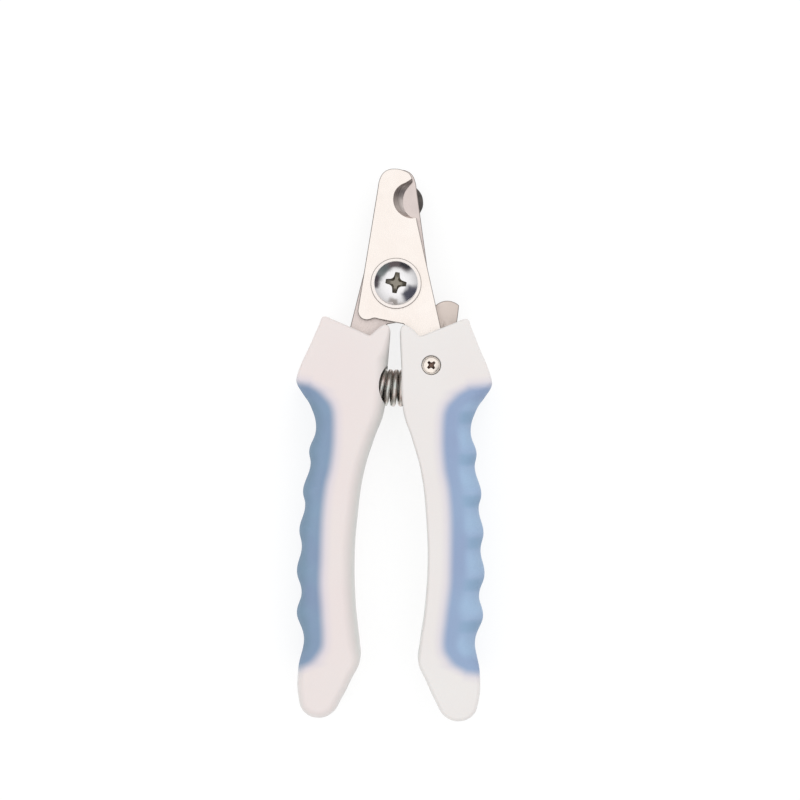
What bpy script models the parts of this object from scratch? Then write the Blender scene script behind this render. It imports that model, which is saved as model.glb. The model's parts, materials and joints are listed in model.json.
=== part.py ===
"""Pet nail trimmer, closed and lying flat: two notched blades on a pivot screw, two moulded handles
with soft grips, a return spring, a lock lever and a claw guard.

Run with blender --background --python part.py. Metres, +Z up, +Y towards the blade tips.
Outlines are written in millimetres about the pivot screw, for the right-hand side (x > 0).
"""

import math

import bmesh
import bpy
from mathutils import Matrix, Vector

MM = 0.001
MERGE = 1e-6  # points closer than this are one point

# Driving dimensions
PIVOT_Y = 36.18 * MM  # pivot screw, forward of the middle of the whole tool
HANDLE_T = 14.0 * MM  # thickness of a handle; its back face is z = 0
EDGE_R = 0.7 * MM  # rounding of a handle's long edges
GAP = 0.3 * MM  # clearance between neighbouring pieces
BLADE_T = 1.8 * MM
BLADE_PLANE = 7.4 * MM  # height at which the two blades slide on each other
BLADE_LEAN = math.radians(0.3)  # both blades lean this much to the left in their handles

FRONT_Z = (BLADE_PLANE + GAP / 2, BLADE_PLANE + GAP / 2 + BLADE_T)
REAR_Z = (BLADE_PLANE - GAP / 2 - BLADE_T, BLADE_PLANE - GAP / 2)

BOLT_R = 2.5 * MM
BORE_R = 2.8 * MM  # clearance bore round the pivot screw
BOLT_HEAD_R = 4.98 * MM
BOLT_HEAD_H = 2.4 * MM
BOLT_RIM = 0.5 * MM
BOLT_END_Z = 0.3 * MM
BOLT_RECESS = (1.5 * MM, 4.6 * MM, 0.95 * MM, math.radians(-8))  # depth, span, slot width, turn
PIVOT_WASHER_R = 5.75 * MM
PIVOT_WASHER_T = 0.5 * MM

GUARD_T = 1.0 * MM
GUARD_HUB_R = 4.8 * MM
GUARD_WASHER_T = 0.4 * MM
SPRING_WASHER_R = 4.6 * MM
SPRING_WASHER_T = 0.3 * MM
SPRING_WASHER_RISE = 0.3 * MM
NUT_T = 1.7 * MM
NUT_FLATS = 8.0 * MM

LOCK_AT = (8.27, -18.45)  # the lever's small screw
LEVER_T = 1.6 * MM
LEVER_Z = (REAR_Z[0] - GAP - LEVER_T, REAR_Z[0] - GAP)
TOOTH_BELOW_FACE = 0.3 * MM
LOCK_SHANK_R = 0.95 * MM
LOCK_HOLE_R = 1.25 * MM
LOCK_SLEEVE_R = 1.75 * MM
LOCK_HEAD_R = 1.85 * MM
LOCK_HEAD_H = 1.0 * MM
LOCK_END_Z = 0.3 * MM
LOCK_RECESS = (0.7 * MM, 2.1 * MM, 0.55 * MM, math.radians(42))
LOCK_WASHER_R = 2.2 * MM
LOCK_WASHER_T = 0.3 * MM
LOCK_SEAT_R = 2.5 * MM
LOCK_SEAT_Z = 12.2 * MM
LOCK_NUT_FLATS = 4.0 * MM
LOCK_NUT_T = 1.5 * MM
WAVE_WASHER_R = 2.9 * MM
WAVE_WASHER_T = 0.3 * MM
WAVES = 3

SPRING_ARC_R = 23.7 * MM  # the closed spring bends round the pivot at this radius
SPRING_HALF_ANGLE = math.radians(11.6)
SPRING_TURNS = 6.25
SPRING_COIL_R = 3.65 * MM  # to the middle of the wire
SPRING_WIRE_R = 0.58 * MM
POCKET_R = 4.7 * MM
POCKET_LENGTH = 12.0 * MM
POCKET_MID_ANGLE = math.radians(9.0)
POCKET_END_ANGLE = math.radians(14.0)
PEG_R = 2.6 * MM
PEG_LENGTH = 2.4 * MM

GRIP_SHIFT_LEFT = 2.5  # mm by which the left grip is narrower than the right one
GRIP_ENDS_Y = (-22.2, -88.4)  # mm, where the grip's room begins and ends, past the widest point
GRIP_FAR_X = 26.0  # mm, clear outside the widest point
CORE_Z = (4.0 * MM, 10.0 * MM)

MOUTH_AT = (3.35, -23.2)  # mm, the middle of the round opening of the left spring pocket
MOUTH_R = 6.8 * MM
MOUTH_BELOW = 3.0 * MM  # how far below the handle's middle the opening reaches

ROUND_STEPS = 40
SMALL_ROUND_STEPS = 24
NOTCH_STEPS = 6  # points in each stretch of the notch's outline
NOTCH_OVER = 1.0 / 3.0  # the notch's cutter runs past both faces by this share of the thickness
COIL_STEPS = 18  # points in each turn of the spring

# Outlines, (x, y, kind): "c" is a corner and "s" a point on a smooth stretch
BLADE_OUTLINE = [
    (-4.5, 21.1, "c"),
    (-8.5, -5.5, "c"),
    (-8.55, -6.7, "s"),
    (-7.97, -7.8, "s"),
    (-6.9, -8.33, "s"),
    (-5.83, -8.25, "s"),
    (-4.77, -7.92, "s"),
    (-3.8, -8.14, "s"),
    (1.9, -9.15, "c"),
    (6.3, -17.0, "c"),
    (6.5, -19.4, "c"),
    (8.5, -23.5, "c"),
    (8.7, -39.0, "c"),
    (10.5, -39.0, "c"),
    (10.9, -26.0, "c"),
    (11.7, -16.0, "c"),
    (10.34, -10.06, "c"),
    (4.58, 14.25, "c"),
    (3.4, 23.85, "c"),
    (2.75, 25.0, "s"),
    (1.3, 25.75, "s"),
    (-0.65, 26.07, "s"),
    (-2.2, 25.8, "s"),
    (-3.4, 24.9, "s"),
    (-4.1, 23.4, "s"),
]

HANDLE_INNER = [
    (1.15, -12.0, "c"),
    (1.5, -17.4, "c"),
    (2.3, -29.4, "s"),
    (4.25, -35.0, "s"),
    (6.6, -43.2, "s"),
    (7.95, -54.0, "s"),
    (8.4, -63.0, "s"),
    (7.95, -73.5, "s"),
    (6.85, -82.5, "s"),
]
HANDLE_END = [
    (6.6, -85.5, "s"),
    (8.4, -89.6, "s"),
    (10.7, -94.3, "s"),
    (12.6, -97.3, "s"),
    (15.8, -98.5, "s"),
    (19.1, -97.1, "s"),
    (20.3, -94.0, "s"),
    (20.5, -87.5, "s"),
]
GRIP_EDGE = [  # the outer side, from below the last swell up to the widest corner
    (19.43, -80.4, "s"),
    (21.1, -75.0, "s"),
    (20.1, -70.3, "s"),
    (21.3, -65.6, "s"),
    (20.25, -60.0, "s"),
    (20.9, -56.2, "s"),
    (19.65, -50.7, "s"),
    (20.2, -47.3, "s"),
    (18.6, -41.3, "s"),
    (18.95, -38.2, "s"),
    (17.55, -33.4, "s"),
    (18.9, -28.1, "s"),
    (20.7, -25.3, "s"),
    (22.05, -22.6, "s"),
]
HANDLE_TOP = [
    (21.95, -21.6, "s"),
    (18.75, -13.65, "c"),
    (16.85, -9.1, "c"),
    (16.45, -8.05, "s"),
    (15.6, -7.9, "s"),
    (14.5, -8.35, "c"),
    (5.6, -12.05, "c"),
    (2.85, -9.7, "s"),
    (1.9, -9.5, "s"),
    (1.25, -10.3, "s"),
]
GRIP_SEAM = [  # the edge of the blue grip on the faces, from the widest corner down
    (17.2, -23.3, "s"),
    (14.0, -25.6, "s"),
    (11.7, -29.4, "s"),
    (11.5, -34.4, "s"),
    (12.0, -41.2, "s"),
    (13.1, -46.5, "s"),
    (13.75, -54.0, "s"),
    (13.85, -65.5, "s"),
    (13.0, -75.0, "s"),
    (12.5, -80.8, "s"),
    (14.0, -84.6, "s"),
    (17.7, -87.3, "s"),
]

GRIP_CORE = [
    (7.5, -80.0, "c"),
    (17.0, -80.0, "c"),
    (17.7, -70.0, "s"),
    (17.8, -60.0, "s"),
    (17.2, -51.0, "s"),
    (16.1, -41.0, "s"),
    (15.2, -31.0, "c"),
    (7.5, -31.0, "c"),
]
GUARD_OUTLINE = [
    (4.8, 0.0, "s"),
    (2.6, 4.6, "s"),
    (2.5, 10.0, "s"),
    (5.0, 16.1, "s"),
    (5.9, 18.7, "s"),
    (4.6, 21.95, "s"),
    (1.35, 23.25, "s"),
    (-1.9, 21.95, "s"),
    (-3.2, 18.7, "s"),
    (-2.6, 15.5, "s"),
    (-2.1, 10.0, "s"),
    (-2.6, 4.6, "s"),
    (-4.8, 0.0, "s"),
    (-3.4, -3.4, "s"),
    (0.0, -4.8, "s"),
    (3.4, -3.4, "s"),
]
LEVER_OUTLINE = [
    (9.05, -4.62, "c"),
    (10.3, -3.82, "s"),
    (11.84, -3.48, "s"),
    (13.4, -3.8, "s"),
    (14.54, -4.47, "c"),
    (14.15, -8.1, "c"),
    (12.9, -12.8, "s"),
    (10.9, -17.2, "s"),
    (11.0, -19.5, "s"),
    (8.27, -21.35, "s"),
    (5.37, -18.45, "s"),
    (6.3, -15.6, "s"),
    (7.2, -12.0, "s"),
    (7.75, -8.6, "c"),
    (9.3, -7.2, "c"),
]
LEVER_SLOT = [
    (15.4, -2.0, "c"),
    (15.0, -8.3, "c"),
    (13.6, -13.4, "s"),
    (11.75, -17.8, "s"),
    (10.9, -20.3, "s"),
    (8.27, -21.75, "s"),
    (5.75, -20.6, "s"),
    (4.9, -18.3, "s"),
    (4.6, -15.0, "s"),
    (5.2, -12.6, "c"),
    (5.8, -9.0, "c"),
    (5.8, -2.0, "c"),
]
TOOTH_OUTLINE = [  # stands up from the lever, at rest just outside the rear blade's sweep
    (7.77, -8.48, "c"),
    (8.62, -8.3, "c"),
    (9.95, -7.9, "c"),
    (11.2, -8.4, "c"),
    (10.6, -10.6, "c"),
    (7.9, -10.2, "c"),
]

NOTCH_EDGE = [  # the notch where the blades slide; its left side is the cutting edge
    (9.0, 27.5, "c"),
    (4.7, 24.7, "s"),
    (3.48, 23.22, "s"),
    (2.5, 22.1, "s"),
    (1.79, 21.04, "s"),
    (1.38, 19.8, "s"),
    (1.29, 18.65, "s"),
    (1.5, 17.4, "s"),
    (2.15, 16.2, "s"),
    (3.19, 15.3, "s"),
    (4.45, 14.9, "s"),
    (6.0, 14.9, "s"),
    (9.0, 15.0, "c"),
]
NOTCH_RIM = [  # the hollow-ground bevel's rim in the outer face, point for point
    (9.0, 28.5, "c"),
    (4.6, 25.1, "s"),
    (3.34, 23.95, "s"),
    (1.96, 22.98, "s"),
    (0.6, 22.25, "s"),
    (-0.45, 21.05, "s"),
    (-0.87, 19.2, "s"),
    (-0.5, 17.4, "s"),
    (0.8, 15.8, "s"),
    (2.76, 14.87, "s"),
    (4.45, 14.88, "s"),
    (6.0, 14.95, "s"),
    (9.0, 15.2, "c"),
]

COLOURS = {  # base colour, roughness, metallic
    "steel": ((0.80, 0.77, 0.74), 0.28, 1.0),
    "chrome": ((0.86, 0.86, 0.87), 0.10, 1.0),
    "dark_steel": ((0.10, 0.10, 0.10), 0.45, 1.0),
    "spring_steel": ((0.45, 0.43, 0.41), 0.30, 1.0),
    "white_plastic": ((0.83, 0.80, 0.78), 0.42, 0.0),
    "blue_rubber": ((0.26, 0.38, 0.52), 0.62, 0.0),
}


def collection(name):
    """A new collection in the scene."""
    made = bpy.data.collections.new(name)
    bpy.context.scene.collection.children.link(made)
    return made


def material(piece, colour):
    """A Principled material of the piece's own."""
    base, roughness, metallic = COLOURS[colour]
    made = bpy.data.materials.new(f"{piece}_{colour}")
    made.use_nodes = True
    shader = made.node_tree.nodes["Principled BSDF"]
    shader.inputs["Base Color"].default_value = (*base, 1.0)
    shader.inputs["Roughness"].default_value = roughness
    shader.inputs["Metallic"].default_value = metallic
    made.diffuse_color = (*base, 1.0)
    return made


def place(name, mesh, group, centre=(0.0, 0.0), colour=None):
    """Links a mesh as an object whose origin is on the vertical axis through centre, in mm."""
    obj = bpy.data.objects.new(name, mesh)
    obj.location = (centre[0] * MM, PIVOT_Y + centre[1] * MM, 0.0)
    group.objects.link(obj)
    if colour:
        mesh.materials.clear()
        mesh.materials.append(material(name, colour))
    else:
        obj.hide_render = True
        obj.display_type = "WIRE"
    return obj


def mirrored(outline):
    """The outline on the other side of the tool, running the same way round as the given one."""
    return [(-x, y, kind) for x, y, kind in reversed(outline)]


def shifted(outline, dx):
    """The outline moved sideways by dx."""
    return [(x + dx, y, kind) for x, y, kind in outline]


def about(outline, centre):
    """The outline measured from centre instead of from the pivot."""
    return [(x - centre[0], y - centre[1], kind) for x, y, kind in outline]


def leaned(outline):
    """The outline turned about the pivot by the blades' lean."""
    cos, sin = math.cos(BLADE_LEAN), math.sin(BLADE_LEAN)
    return [(x * cos - y * sin, x * sin + y * cos, kind) for x, y, kind in outline]


def outline_mesh(name, outline, bend_steps, height=None, grow=0.0):
    """A Bezier outline as a mesh: a filled one of some height, or only its line of points."""
    curve = bpy.data.curves.new(name, "CURVE")
    curve.dimensions = "2D"
    curve.fill_mode = "BOTH" if height else "NONE"
    curve.extrude = height / 2 if height else 0.0
    curve.offset = grow
    curve.resolution_u = bend_steps
    spline = curve.splines.new("BEZIER")
    spline.bezier_points.add(len(outline) - 1)
    spline.use_cyclic_u = True
    for point, (x, y, kind) in zip(spline.bezier_points, outline):
        point.co = (x * MM, y * MM, 0.0)
        handle = "VECTOR" if kind == "c" else "AUTO"
        point.handle_left_type = handle
        point.handle_right_type = handle
    holder = bpy.data.objects.new(name, curve)
    bpy.context.scene.collection.objects.link(holder)
    bpy.context.view_layer.update()
    evaluated = holder.evaluated_get(bpy.context.evaluated_depsgraph_get())
    mesh = bpy.data.meshes.new_from_object(evaluated)
    bpy.data.objects.remove(holder)
    bpy.data.curves.remove(curve)
    return mesh


def flat_mesh(name, outline, z_low, z_high, grow=0.0, bend_steps=4):
    """A closed flat solid between two heights, from a filled Bezier outline that is then welded."""
    mesh = outline_mesh(name, outline, bend_steps, z_high - z_low, grow)
    mesh.transform(Matrix.Translation((0.0, 0.0, (z_high + z_low) / 2)))
    work = bmesh.new()
    work.from_mesh(mesh)
    bmesh.ops.remove_doubles(work, verts=work.verts, dist=MERGE)
    bmesh.ops.dissolve_limit(work, angle_limit=math.radians(1.0), verts=work.verts, edges=work.edges)
    bmesh.ops.recalc_face_normals(work, faces=work.faces)
    work.to_mesh(mesh)
    work.free()
    mesh.name = name
    return mesh


def turned(name, profile, group, centre, colour, steps=ROUND_STEPS, closed=False):
    """A turned solid; its profile runs down the outer side, and a closed one makes a ring."""
    count = len(profile)
    edges = [(i, i + 1) for i in range(count - 1)]
    if closed:
        edges.append((count - 1, 0))
    mesh = bpy.data.meshes.new(name)
    mesh.from_pydata([(r, 0.0, z) for r, z in profile], edges, [])
    obj = place(name, mesh, group, centre, colour)
    screw = obj.modifiers.new("turn", "SCREW")
    screw.steps = steps
    screw.render_steps = steps
    screw.use_merge_vertices = True
    screw.merge_threshold = MERGE
    screw.use_smooth_shade = True
    return obj


def ring(name, r_out, r_in, z_low, z_high, group, centre, colour, steps=ROUND_STEPS):
    profile = [(r_out, z_high), (r_out, z_low), (r_in, z_low), (r_in, z_high)]
    return turned(name, profile, group, centre, colour, steps, closed=True)


def prism_mesh(name, radius, z_low, z_high, sides):
    """An upright cylinder, or a hexagonal prism with six sides."""
    mesh = bpy.data.meshes.new(name)
    work = bmesh.new()
    bmesh.ops.create_cone(
        work,
        cap_ends=True,
        segments=sides,
        radius1=radius,
        radius2=radius,
        depth=z_high - z_low,
        matrix=Matrix.Translation((0.0, 0.0, (z_high + z_low) / 2)),
    )
    work.to_mesh(mesh)
    work.free()
    return mesh


def cut(obj, cutter, operation="DIFFERENCE"):
    boolean = obj.modifiers.new(cutter.name, "BOOLEAN")
    boolean.operation = operation
    boolean.object = cutter
    boolean.solver = "EXACT"


def drill(obj, radius, z_low, z_high, tools, centre=(0.0, 0.0), sides=ROUND_STEPS):
    """A straight hole in obj, round or six-sided."""
    name = f"{obj.name}_hole_{len(obj.modifiers)}"
    cut(obj, place(name, prism_mesh(name, radius, z_low, z_high, sides), tools, centre))


def cross_recess(obj, z_top, recess, tools, centre=(0.0, 0.0)):
    """A cross-head recess: two slots across each other, cut down from z_top."""
    depth, span, width, turn = recess
    for index in range(2):
        name = f"{obj.name}_slot_{index}"
        mesh = bpy.data.meshes.new(name)
        work = bmesh.new()
        bmesh.ops.create_cube(work, size=1.0, matrix=Matrix.Diagonal((span, width, 2 * depth, 1.0)))
        work.to_mesh(mesh)
        work.free()
        mesh.transform(Matrix.Rotation(turn + index * math.pi / 2, 4, "Z"))
        mesh.transform(Matrix.Translation((0.0, 0.0, z_top)))
        cut(obj, place(name, mesh, tools, centre))


def domed_head(radius, z_seat, height, rim, steps=6):
    """The profile of a domed screw head from its crown down to its seat, (radius, height)."""
    crown = height - rim
    profile = []
    for i in range(steps + 1):
        angle = i / steps * math.pi / 2
        profile.append((radius * math.sin(angle), z_seat + rim + crown * math.cos(angle)))
    return profile + [(radius, z_seat)]


def outline_points(name, outline):
    """The notch outline's points in order."""
    mesh = outline_mesh(name, outline, NOTCH_STEPS)
    points = [vert.co.copy() for vert in mesh.vertices]
    bpy.data.meshes.remove(mesh)
    return points


def notch_cutter(name, side, face, tools):
    """The room of the half-round notch with its hollow-ground bevel.

    The cutting edge lies in the face where the blades slide, and the wider rim in the outer face.
    """
    outlines = [NOTCH_EDGE, NOTCH_RIM]
    if side < 0:
        outlines = [mirrored(outline) for outline in outlines]
    edge, rim = [outline_points(name, leaned(outline)) for outline in outlines]
    work = bmesh.new()
    rings = []
    for share in (-NOTCH_OVER, 0.0, 1.0 + NOTCH_OVER):
        height = face + side * BLADE_T * share
        spots = [low.lerp(high, max(share, 0.0)) for low, high in zip(edge, rim)]
        rings.append([work.verts.new((spot.x, spot.y, height)) for spot in spots])
    work.faces.new(rings[0])
    work.faces.new(rings[-1])
    count = len(edge)
    for low, high in zip(rings, rings[1:]):
        for i in range(count):
            j = (i + 1) % count
            work.faces.new((low[i], low[j], high[j], high[i]))
    bmesh.ops.recalc_face_normals(work, faces=work.faces)
    mesh = bpy.data.meshes.new(name)
    work.to_mesh(mesh)
    work.free()
    return place(name, mesh, tools)


def blade(name, side, heights, face, parts, tools):
    """One blade with its tang, pivot bore, lock screw hole and notch."""
    outline = leaned(BLADE_OUTLINE if side > 0 else mirrored(BLADE_OUTLINE))
    obj = place(name, flat_mesh(name, outline, *heights), parts, colour="steel")
    drill(obj, BORE_R, -HANDLE_T, 2 * HANDLE_T, tools)
    hole_at = (side * LOCK_AT[0], LOCK_AT[1])
    drill(obj, LOCK_HOLE_R, -HANDLE_T, 2 * HANDLE_T, tools, hole_at, SMALL_ROUND_STEPS)
    cut(obj, notch_cutter(f"{name}_notch", side, face, tools))
    return obj


def handle_outline():
    return HANDLE_INNER + HANDLE_END + GRIP_EDGE + HANDLE_TOP


def grip_room(name, side, shift, clearance, tools):
    """The room of a soft grip: everything outside its seam, through the whole thickness."""
    seam = shifted(GRIP_SEAM, shift - clearance)
    first = (GRIP_FAR_X, GRIP_ENDS_Y[0] + clearance, "c")
    last = (GRIP_FAR_X, GRIP_ENDS_Y[1] - clearance, "c")
    outline = [first] + seam + [last]
    if side < 0:
        outline = mirrored(outline)
    return place(name, flat_mesh(name, outline, -HANDLE_T / 2, 1.5 * HANDLE_T), tools)


def grip_core(name, side, grow, tools):
    """The handle's rib that the soft grip is moulded round."""
    outline = GRIP_CORE if side > 0 else mirrored(GRIP_CORE)
    mesh = flat_mesh(name, outline, CORE_Z[0] - grow, CORE_Z[1] + grow, grow)
    return place(name, mesh, tools)


def handle_blank(name, side, parts, colour):
    outline = handle_outline() if side > 0 else mirrored(handle_outline())
    obj = place(name, flat_mesh(name, outline, 0.0, HANDLE_T), parts, colour=colour)
    bevel = obj.modifiers.new("rounding", "BEVEL")
    bevel.width = EDGE_R
    bevel.segments = 2
    bevel.limit_method = "ANGLE"
    bevel.angle_limit = math.radians(60)
    return obj


def spring_pocket(name, side, tools):
    """The room of a spring end, with a peg left standing in its floor."""
    profile = [
        (0.0, POCKET_LENGTH),
        (POCKET_R, POCKET_LENGTH),
        (POCKET_R, 0.0),
        (PEG_R, 0.0),
        (PEG_R, PEG_LENGTH),
        (0.0, PEG_LENGTH),
    ]
    obj = turned(name, profile, tools, (0.0, 0.0), None, SMALL_ROUND_STEPS)
    depth = SPRING_ARC_R * (POCKET_END_ANGLE - POCKET_MID_ANGLE)
    along = Vector((math.cos(POCKET_MID_ANGLE), math.sin(POCKET_MID_ANGLE), 0.0))
    middle = SPRING_ARC_R * Vector((math.sin(POCKET_MID_ANGLE), -math.cos(POCKET_MID_ANGLE), 0.0))
    floor = middle + along * depth
    obj.location += Vector((side * floor.x, floor.y, HANDLE_T / 2))
    mouth = Vector((-side * along.x, -along.y, 0.0))
    obj.rotation_euler = mouth.to_track_quat("Z", "Y").to_euler()
    return obj


def handle(name, side, tang_z, shift, parts, tools):
    """A handle moulding: blank, tang slot, spring pocket and the room of the grip round its core."""
    obj = handle_blank(name, side, parts, "white_plastic")
    tang = leaned(BLADE_OUTLINE if side > 0 else mirrored(BLADE_OUTLINE))
    slot_name = f"{name}_tang_slot"
    slot = flat_mesh(slot_name, tang, tang_z[0] - GAP, tang_z[1] + GAP, GAP)
    cut(obj, place(slot_name, slot, tools))
    cut(obj, spring_pocket(f"{name}_spring_pocket", side, tools))
    if side < 0:
        drill(obj, MOUTH_R, HANDLE_T / 2 - MOUTH_BELOW, 2 * HANDLE_T, tools, MOUTH_AT)
    room = grip_room(f"{name}_grip_room", side, shift, GAP / MM, tools)
    cut(room, grip_core(f"{name}_core", side, 0.0, tools))
    cut(obj, room)
    return obj


def grip(name, side, shift, parts, tools):
    """A soft grip: the outer band of the handle's shape, hollow where the core rib goes."""
    obj = handle_blank(name, side, parts, "blue_rubber")
    cut(obj, grip_room(f"{name}_band", side, shift, 0.0, tools), "INTERSECT")
    cut(obj, grip_core(f"{name}_core_room", side, GAP, tools))
    return obj


def pivot_stack(parts, tools):
    """The screw that the blades turn on, and everything that it holds behind and before them."""
    washer_low = FRONT_Z[1] + GAP
    washer_high = washer_low + PIVOT_WASHER_T
    ring("pivot_washer", PIVOT_WASHER_R, BORE_R, washer_low, washer_high, parts, (0, 0), "steel")

    seat = washer_high + GAP
    profile = domed_head(BOLT_HEAD_R, seat, BOLT_HEAD_H, BOLT_RIM)
    profile += [(BOLT_R, seat), (BOLT_R, BOLT_END_Z), (0.0, BOLT_END_Z)]
    bolt = turned("pivot_bolt", profile, parts, (0, 0), "chrome")
    cross_recess(bolt, seat + BOLT_HEAD_H, BOLT_RECESS, tools)

    guard_washer_high = REAR_Z[0] - GAP
    guard_washer_low = guard_washer_high - GUARD_WASHER_T
    ring(
        "guard_washer", GUARD_HUB_R, BORE_R, guard_washer_low, guard_washer_high, parts, (0, 0), "steel"
    )
    guard_high = guard_washer_low - GAP
    guard_low = guard_high - GUARD_T
    quick_guard((guard_low, guard_high), parts, tools)

    cone_high = guard_low - GAP
    rim_high = cone_high - SPRING_WASHER_RISE
    profile = [
        (SPRING_WASHER_R, rim_high),
        (SPRING_WASHER_R, rim_high - SPRING_WASHER_T),
        (BORE_R, cone_high - SPRING_WASHER_T),
        (BORE_R, cone_high),
    ]
    turned("pivot_spring_washer", profile, parts, (0, 0), "spring_steel", closed=True)

    nut_high = rim_high - SPRING_WASHER_T - GAP
    corner_r = NUT_FLATS / math.sqrt(3)
    mesh = prism_mesh("pivot_nut", corner_r, nut_high - NUT_T, nut_high, 6)
    nut = place("pivot_nut", mesh, parts, colour="steel")
    drill(nut, BORE_R, -HANDLE_T, HANDLE_T, tools)


def quick_guard(heights, parts, tools):
    """The guard: a hub on the pivot screw, a neck and a round paddle behind the notch."""
    obj = place(
        "quick_guard", flat_mesh("quick_guard", GUARD_OUTLINE, *heights), parts, colour="dark_steel"
    )
    drill(obj, BORE_R, -HANDLE_T, HANDLE_T, tools)


def lock_lever(parts, tools):
    """The lock lever with its thumb tab and its upright tooth, turning on the small screw."""
    plate = flat_mesh("lock_lever", about(LEVER_OUTLINE, LOCK_AT), *LEVER_Z)
    obj = place("lock_lever", plate, parts, LOCK_AT, "steel")
    tooth_top = REAR_Z[1] - TOOTH_BELOW_FACE
    tooth_low = LEVER_Z[0] + LEVER_T / 2
    tooth = flat_mesh("lever_tooth", about(TOOTH_OUTLINE, LOCK_AT), tooth_low, tooth_top)
    cut(obj, place("lever_tooth", tooth, tools, LOCK_AT), "UNION")
    bore = LOCK_SLEEVE_R + GAP
    drill(obj, bore, -HANDLE_T, HANDLE_T, tools, LOCK_AT, SMALL_ROUND_STEPS)


def wave_washer(parts):
    """A thin ring pressed into three waves between the lever and the tang above it."""
    low = LEVER_Z[1] + GAP
    high = FRONT_Z[0] - GAP
    inner = LOCK_SLEEVE_R + GAP
    swing = (high - low - WAVE_WASHER_T) / 2
    middle = (high + low) / 2
    mesh = bpy.data.meshes.new("lock_wave_washer")
    work = bmesh.new()
    half = WAVE_WASHER_T / 2
    corners = [(inner, -half), (WAVE_WASHER_R, -half), (WAVE_WASHER_R, half), (inner, half)]
    rings = []
    for step in range(SMALL_ROUND_STEPS):
        angle = step / SMALL_ROUND_STEPS * 2 * math.pi
        wave = middle + swing * math.cos(WAVES * angle)
        rings.append(
            [work.verts.new((r * math.cos(angle), r * math.sin(angle), wave + z)) for r, z in corners]
        )
    for step in range(SMALL_ROUND_STEPS):
        here, there = rings[step], rings[(step + 1) % SMALL_ROUND_STEPS]
        for i in range(4):
            j = (i + 1) % 4
            work.faces.new((here[i], there[i], there[j], here[j]))
    bmesh.ops.recalc_face_normals(work, faces=work.faces)
    work.to_mesh(mesh)
    work.free()
    place("lock_wave_washer", mesh, parts, LOCK_AT, "spring_steel")


def lock_fastener(parts, tools):
    """The small screw that the lever turns on, with its washer, sleeve, wave washer and nut."""
    washer_low = LOCK_SEAT_Z + GAP
    washer_high = washer_low + LOCK_WASHER_T
    ring(
        "lock_washer", LOCK_WASHER_R, LOCK_HOLE_R, washer_low, washer_high, parts, LOCK_AT, "steel"
    )
    seat = washer_high + GAP
    profile = domed_head(LOCK_HEAD_R, seat, LOCK_HEAD_H, LOCK_HEAD_H / 2, 4)
    profile += [(LOCK_SHANK_R, seat), (LOCK_SHANK_R, LOCK_END_Z), (0.0, LOCK_END_Z)]
    screw = turned("lock_screw", profile, parts, LOCK_AT, "steel", SMALL_ROUND_STEPS)
    cross_recess(screw, seat + LOCK_HEAD_H, LOCK_RECESS, tools, LOCK_AT)
    sleeve_top = FRONT_Z[0] - GAP
    ring(
        "lock_sleeve",
        LOCK_SLEEVE_R,
        LOCK_HOLE_R,
        LEVER_Z[0],
        sleeve_top,
        parts,
        LOCK_AT,
        "steel",
        SMALL_ROUND_STEPS,
    )
    wave_washer(parts)
    corner_r = LOCK_NUT_FLATS / math.sqrt(3)
    mesh = prism_mesh("lock_nut", corner_r, GAP, GAP + LOCK_NUT_T, 6)
    nut = place("lock_nut", mesh, parts, LOCK_AT, "steel")
    drill(nut, LOCK_HOLE_R, -HANDLE_T, HANDLE_T, tools, LOCK_AT, SMALL_ROUND_STEPS)


def lock_room(obj, tools):
    """The right handle's lever slot, screw hole, screw seat and nut pocket."""
    slot = flat_mesh("lever_slot", LEVER_SLOT, LEVER_Z[0] - GAP, BLADE_PLANE)
    cut(obj, place("lever_slot", slot, tools))
    drill(obj, LOCK_HOLE_R, -HANDLE_T, 2 * HANDLE_T, tools, LOCK_AT, SMALL_ROUND_STEPS)
    drill(obj, LOCK_SEAT_R, LOCK_SEAT_Z, 2 * HANDLE_T, tools, LOCK_AT)
    pocket_r = (LOCK_NUT_FLATS + 2 * GAP) / math.sqrt(3)
    drill(obj, pocket_r, -HANDLE_T, LOCK_NUT_T + 2 * GAP, tools, LOCK_AT, 6)


def return_spring(parts):
    """A coil of round wire, bent round the pivot as the closed handles bend it."""
    curve = bpy.data.curves.new("return_spring", "CURVE")
    curve.dimensions = "3D"
    curve.bevel_depth = SPRING_WIRE_R
    curve.bevel_resolution = 2
    curve.use_fill_caps = True
    count = int(SPRING_TURNS * COIL_STEPS) + 1
    spline = curve.splines.new("POLY")
    spline.points.add(count - 1)
    for i, point in enumerate(spline.points):
        share = i / (count - 1)
        bend = SPRING_HALF_ANGLE * (2 * share - 1)
        turn = 2 * math.pi * SPRING_TURNS * share
        radius = SPRING_ARC_R + SPRING_COIL_R * math.cos(turn)
        height = HANDLE_T / 2 + SPRING_COIL_R * math.sin(turn)
        point.co = (radius * math.sin(bend), -radius * math.cos(bend), height, 1.0)
    obj = bpy.data.objects.new("return_spring", curve)
    obj.location = (0.0, PIVOT_Y, 0.0)
    parts.objects.link(obj)
    curve.materials.append(material("return_spring", "spring_steel"))


def build():
    for obj in list(bpy.data.objects):
        bpy.data.objects.remove(obj)
    parts = collection("pet_nail_trimmer")
    tools = collection("cutters")
    blade("front_blade", 1, FRONT_Z, FRONT_Z[0], parts, tools)
    blade("rear_blade", -1, REAR_Z, REAR_Z[1], parts, tools)
    right = handle("right_handle", 1, FRONT_Z, 0.0, parts, tools)
    lock_room(right, tools)
    handle("left_handle", -1, REAR_Z, GRIP_SHIFT_LEFT, parts, tools)
    grip("right_grip", 1, 0.0, parts, tools)
    grip("left_grip", -1, GRIP_SHIFT_LEFT, parts, tools)
    pivot_stack(parts, tools)
    lock_lever(parts, tools)
    lock_fastener(parts, tools)
    return_spring(parts)


build()
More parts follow.
